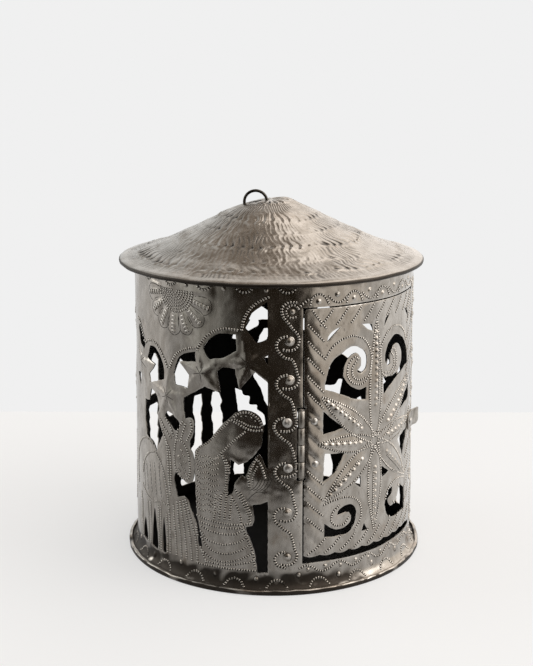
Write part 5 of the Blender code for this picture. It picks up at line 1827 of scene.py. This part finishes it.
@dataclass
class Rivet:
    """A hand-set rivet with a hammered head."""

    node: str
    x: float
    y: float
    head: float
    above: float
    below: float
    body: str

    def build(self, drum: Drum, finishes: Finishes, seed: int) -> Object:
        """Makes the rivet on its own spot of the wall."""
        dome, base, tail = self.head * 0.42, self.above + 0.3, self.below + 0.3
        profile = [(0, base + dome), (self.head * 0.30, base + dome * 0.95),
                   (self.head * 0.58, base + dome * 0.78), (self.head * 0.82, base + dome * 0.50),
                   (self.head * 0.96, base + dome * 0.22), (self.head, base), (0.9, base),
                   (0.9, -tail), (1.5, -tail), (1.3, -tail - 0.5), (0.8, -tail - 0.6),
                   (0, -tail - 0.6)]
        obj = lathe(f"stud_{self.node}", [(r * MM, z * MM) for r, z in profile][::-1],
                    finishes.rivet, 28)
        co = vertices(obj)
        dent = ripple(co[:, 0] / MM, co[:, 1] / MM, 2.6, seed)
        top = co[:, 2] > (base + 0.15) * MM
        co[top, 2] += 0.09 * MM * dent[top]
        obj.data.vertices.foreach_set("co", co.reshape(-1))
        set_wear_and_shading(obj, np.where(top, 0.6, 0.2))
        obj.data.transform(drum.frame_at(self.x, self.y))
        return fit(obj, self.body, Slot.RIVET, self.node)


@dataclass
class Latch:
    """The pull tab on the door's free edge."""

    drum: Drum
    finishes: Finishes
    y: float = 80.5
    tall: float = 9.4
    start: float = 37.6
    end: float = 55.0
    thick: float = 1.0
    stand: float = 3.3

    def place(self, x: float, y: float, depth: float) -> Vector:
        """The tab lies on the door and lifts off past its edge."""
        along = min(max((x - 46.5) / (self.end - 46.5), 0.0), 1.0)
        return self.drum.on_wall(x, y, depth - self.stand * along * along * (3 - 2 * along))

    def build(self) -> Object:
        """Makes the tab."""
        low, high = self.y - self.tall / 2, self.y + self.tall / 2
        start, end = self.start, self.end
        outline = cut((start, low + 1.2), (start + 1.2, low), (end - 3, low),
                      [(end - 0.8, low + 1.5), (end, self.y)],
                      [(end - 0.3, high - 0.5), (end - 2, high)], (start + 1.2, high),
                      (start, high - 1.2), (start, low + 1.2), step=0.9)
        loops = [outline, *rivet_holes(Door.rivets[2:])]
        sheet = PiercedSheet("pull_tab", loops, self.place,
                             lambda x, y: 0.06 * ripple(x, y, 6.0, 61), lambda x: 0.8, [],
                             -self.drum.gap - self.thick, self.thick, 0.12)
        tab = sheet.build(self.finishes.hinge, self.finishes.hinge)
        return fit(tab, DOOR, Slot.HINGE, "latch_tab")


# The studio


@dataclass
class Studio:
    """Pale table and backdrop, soft lamps and the camera."""

    heading: float = 43.5
    distance: float = 0.739
    height: float = 0.3059
    pitch: float = 13.652
    yaw: float = 0.33
    lens: float = 70.03
    table_near: float = -0.235
    table_edge: float = 0.253
    gloom: Colour = (0.022, 0.016, 0.010)
    gloom_high: Colour = (0.300, 0.250, 0.205)
    cool: Colour = (0.60, 0.61, 0.59)
    cool_far: Colour = (1.48, 1.50, 1.46)
    cool_high: Colour = (0.80, 0.82, 0.82)
    warm: Colour = (0.82, 0.77, 0.71)
    warm_far: Colour = (1.28, 1.21, 1.12)
    warm_high: Colour = (1.66, 1.56, 1.46)
    warm_back: Colour = (1.36, 1.29, 1.22)
    backdrop_tone: float = 0.871
    table_tone: float = 0.860
    # Painted shadow and light in reflections of the table: how much its glow drops near and far on the
    # left.
    table_reflected_shade: tuple[float, float] = (0.54, 0.44)

    def right(self) -> Vector:
        """The camera's right, along the floor."""
        a = math.radians(self.heading)
        return Vector((math.cos(a), -math.sin(a), 0))

    def forward(self) -> Vector:
        """The camera's heading, along the floor."""
        a = math.radians(self.heading)
        return Vector((math.sin(a), math.cos(a), 0))

    def camera(self) -> None:
        """Sets the camera where the photograph was taken from."""
        data = bpy.data.cameras.new("view_camera")
        data.lens = self.lens
        data.sensor_width = 36.0
        data.clip_start = 0.01
        camera = new_object("view_camera", data)
        camera.location = -self.forward() * self.distance + Vector((0, 0, self.height))
        turn = math.radians(self.heading - self.yaw)
        camera.rotation_euler = (math.radians(90 - self.pitch), 0, -turn)
        bpy.context.scene.camera = camera

    def plane(self, name: str, near: float, far: float, level: float, tone: float,
              lit: float) -> None:
        """A level stage plane between two distances along the camera's heading."""
        wide = 6.0
        f, r = self.forward(), self.right()
        corners = [f * a + r * b for a, b in ((near, -wide), (near, wide), (far, wide), (far, -wide))]
        material, graph = new_material(name)
        seen, glossy, through = (graph.read("LightPath", f"Is {ray} Ray")
                                 for ray in ("Camera", "Glossy", "Transmission"))
        share = (seen * (1.0 - lit) + glossy + through).clamped()
        spot = graph.read("TexCoord", "Object")
        beyond = graph.between(graph.toward(spot, f), -0.10, 0.12)
        left = 1.0 - graph.between(graph.toward(spot, r), -0.02, 0.12)
        # Painted shadow and light in reflections: seen in the metal, the table glows less on the left,
        # where the lantern's shadow lies, and more far off on the right.
        near_side, far_side = self.table_reflected_shade
        reflected_shade = left * (near_side - beyond * far_side) + (1.0 - left) * (0.05 - beyond * 0.30)
        glow = graph.add("Emission", None, {
            "Color": (tone,) * 3, "Strength": 1.0 - glossy * reflected_shade})
        plain = graph.add("BsdfDiffuse", None, {"Color": (tone,) * 3})
        both = graph.add("MixShader", None, {0: share, 1: plain, 2: glow})
        graph.add("OutputMaterial", None, {"Surface": both})
        points = [(c.x, c.y, level) for c in corners]
        mesh_object(name, points, [(0, 1, 2, 3)], [material])

    def world(self) -> None:
        """Soft light from both sides and behind, with a dark wedge over the viewer."""
        world = bpy.data.worlds.new("surround")
        bpy.context.scene.world = world
        world.use_nodes = True
        graph = Graph(world.node_tree)
        way = graph.read("TexCoord", "Generated")
        side = graph.toward(way, self.right())
        up = graph.toward(way, Vector((0, 0, 1))).clamped()
        right = graph.between(side - (0.50 - up * 0.48), -0.06, 0.06)
        left = graph.between((up * 0.44 - 0.50) - side, -0.02, 0.46)
        ahead = graph.toward(way, self.forward())
        back = graph.between(ahead, 0.58, 0.92)
        high = graph.between(up, 0.15, 0.65)
        cool = graph.mix(graph.between(ahead, -0.05, 0.50), self.cool, self.cool_far)
        warm = graph.mix(graph.between(ahead, -0.55, 0.15), self.warm, self.warm_far)
        tone = graph.mix(left, graph.mix(high, self.gloom, self.gloom_high),
                         graph.mix(high, cool, self.cool_high))
        tone = graph.mix(right, tone, graph.mix(high, warm, self.warm_high))
        behind = graph.mix(graph.between(side, -0.30, 0.15), self.cool_high, self.warm_back)
        tone = graph.mix(back, tone, behind)
        seen = graph.read("LightPath", "Is Camera Ray")
        level = self.backdrop_tone
        colour = graph.mix(seen, tone, (level,) * 3)
        sky = graph.add("Background", None, {"Color": colour, "Strength": 1.0})
        graph.add("OutputWorld", None, {"Surface": sky})

    def lamp(self, name: str, where: Vector, size: tuple[float, float], power: float) -> None:
        """A rectangular soft lamp aimed at the lantern."""
        data = bpy.data.lights.new(name, "AREA")
        data.shape = "RECTANGLE"
        data.size, data.size_y = size
        data.energy = power
        lamp = new_object(name, data)
        lamp.location = where
        aim = Vector((0, 0, 0.10)) - where
        lamp.rotation_euler = aim.to_track_quat("-Z", "Y").to_euler()

    def build(self) -> None:
        """Sets the stage, the lamps and the camera."""
        up = Vector((0, 0, 1))
        f, r = self.forward(), self.right()
        self.plane("table_top", self.table_near, self.table_edge, 0.0, self.table_tone, 0.40)
        self.plane("far_floor", self.table_edge, 8.0, -0.0005, self.backdrop_tone, 0.0)
        self.lamp("window_right", r * 1.15 - f * 0.30 + up * 0.75, (0.9, 1.1), 6.0)
        self.lamp("window_left", -r * 1.3 + f * 0.25 + up * 0.6, (0.8, 1.0), 3.0)
        self.world()
        self.camera()
        bpy.context.scene.view_settings.view_transform = "Standard"


def main() -> None:
    """Builds every sub-assembly in order."""
    logging.basicConfig(level=logging.INFO, format="%(message)s")
    finishes = Finishes()
    drum = Drum()
    wall = Wall(drum, finishes)
    wall.build()
    Door(drum, finishes).build()
    roof = Roof(finishes)
    roof.build()
    HangingLoop(roof, finishes).build()
    Base(finishes).build()
    Hinge(drum, finishes).build()
    Latch(drum, finishes).build()
    back = SHEET_MM + drum.gap + Hinge.leaf_thick
    lap = drum.seam + drum.seam_lap / 2
    studs = [Rivet("rivet_frame_upper", -53.5, 97.0, 2.7, 0.0, back, BODY),
             Rivet("rivet_frame_lower", -53.0, 71.5, 2.7, 0.0, back, BODY),
             Rivet("rivet_door_upper", -39.0, 97.0, 2.0, 0.0, back, DOOR),
             Rivet("rivet_door_lower", -38.5, 73.0, 2.0, 0.0, back, DOOR),
             Rivet("rivet_latch", 41.2, 80.5, 2.0, 1.3, SHEET_MM, DOOR)]
    studs += [Rivet(f"rivet_seam_{i}", lap, y, 2.0, 1.1, SHEET_MM, BODY)
              for i, y in enumerate(wall.seam_rivets, 1)]
    for seed, stud in enumerate(studs, 71):
        stud.build(drum, finishes, seed)
    Studio().build()


if __name__ == "__main__":
    main()
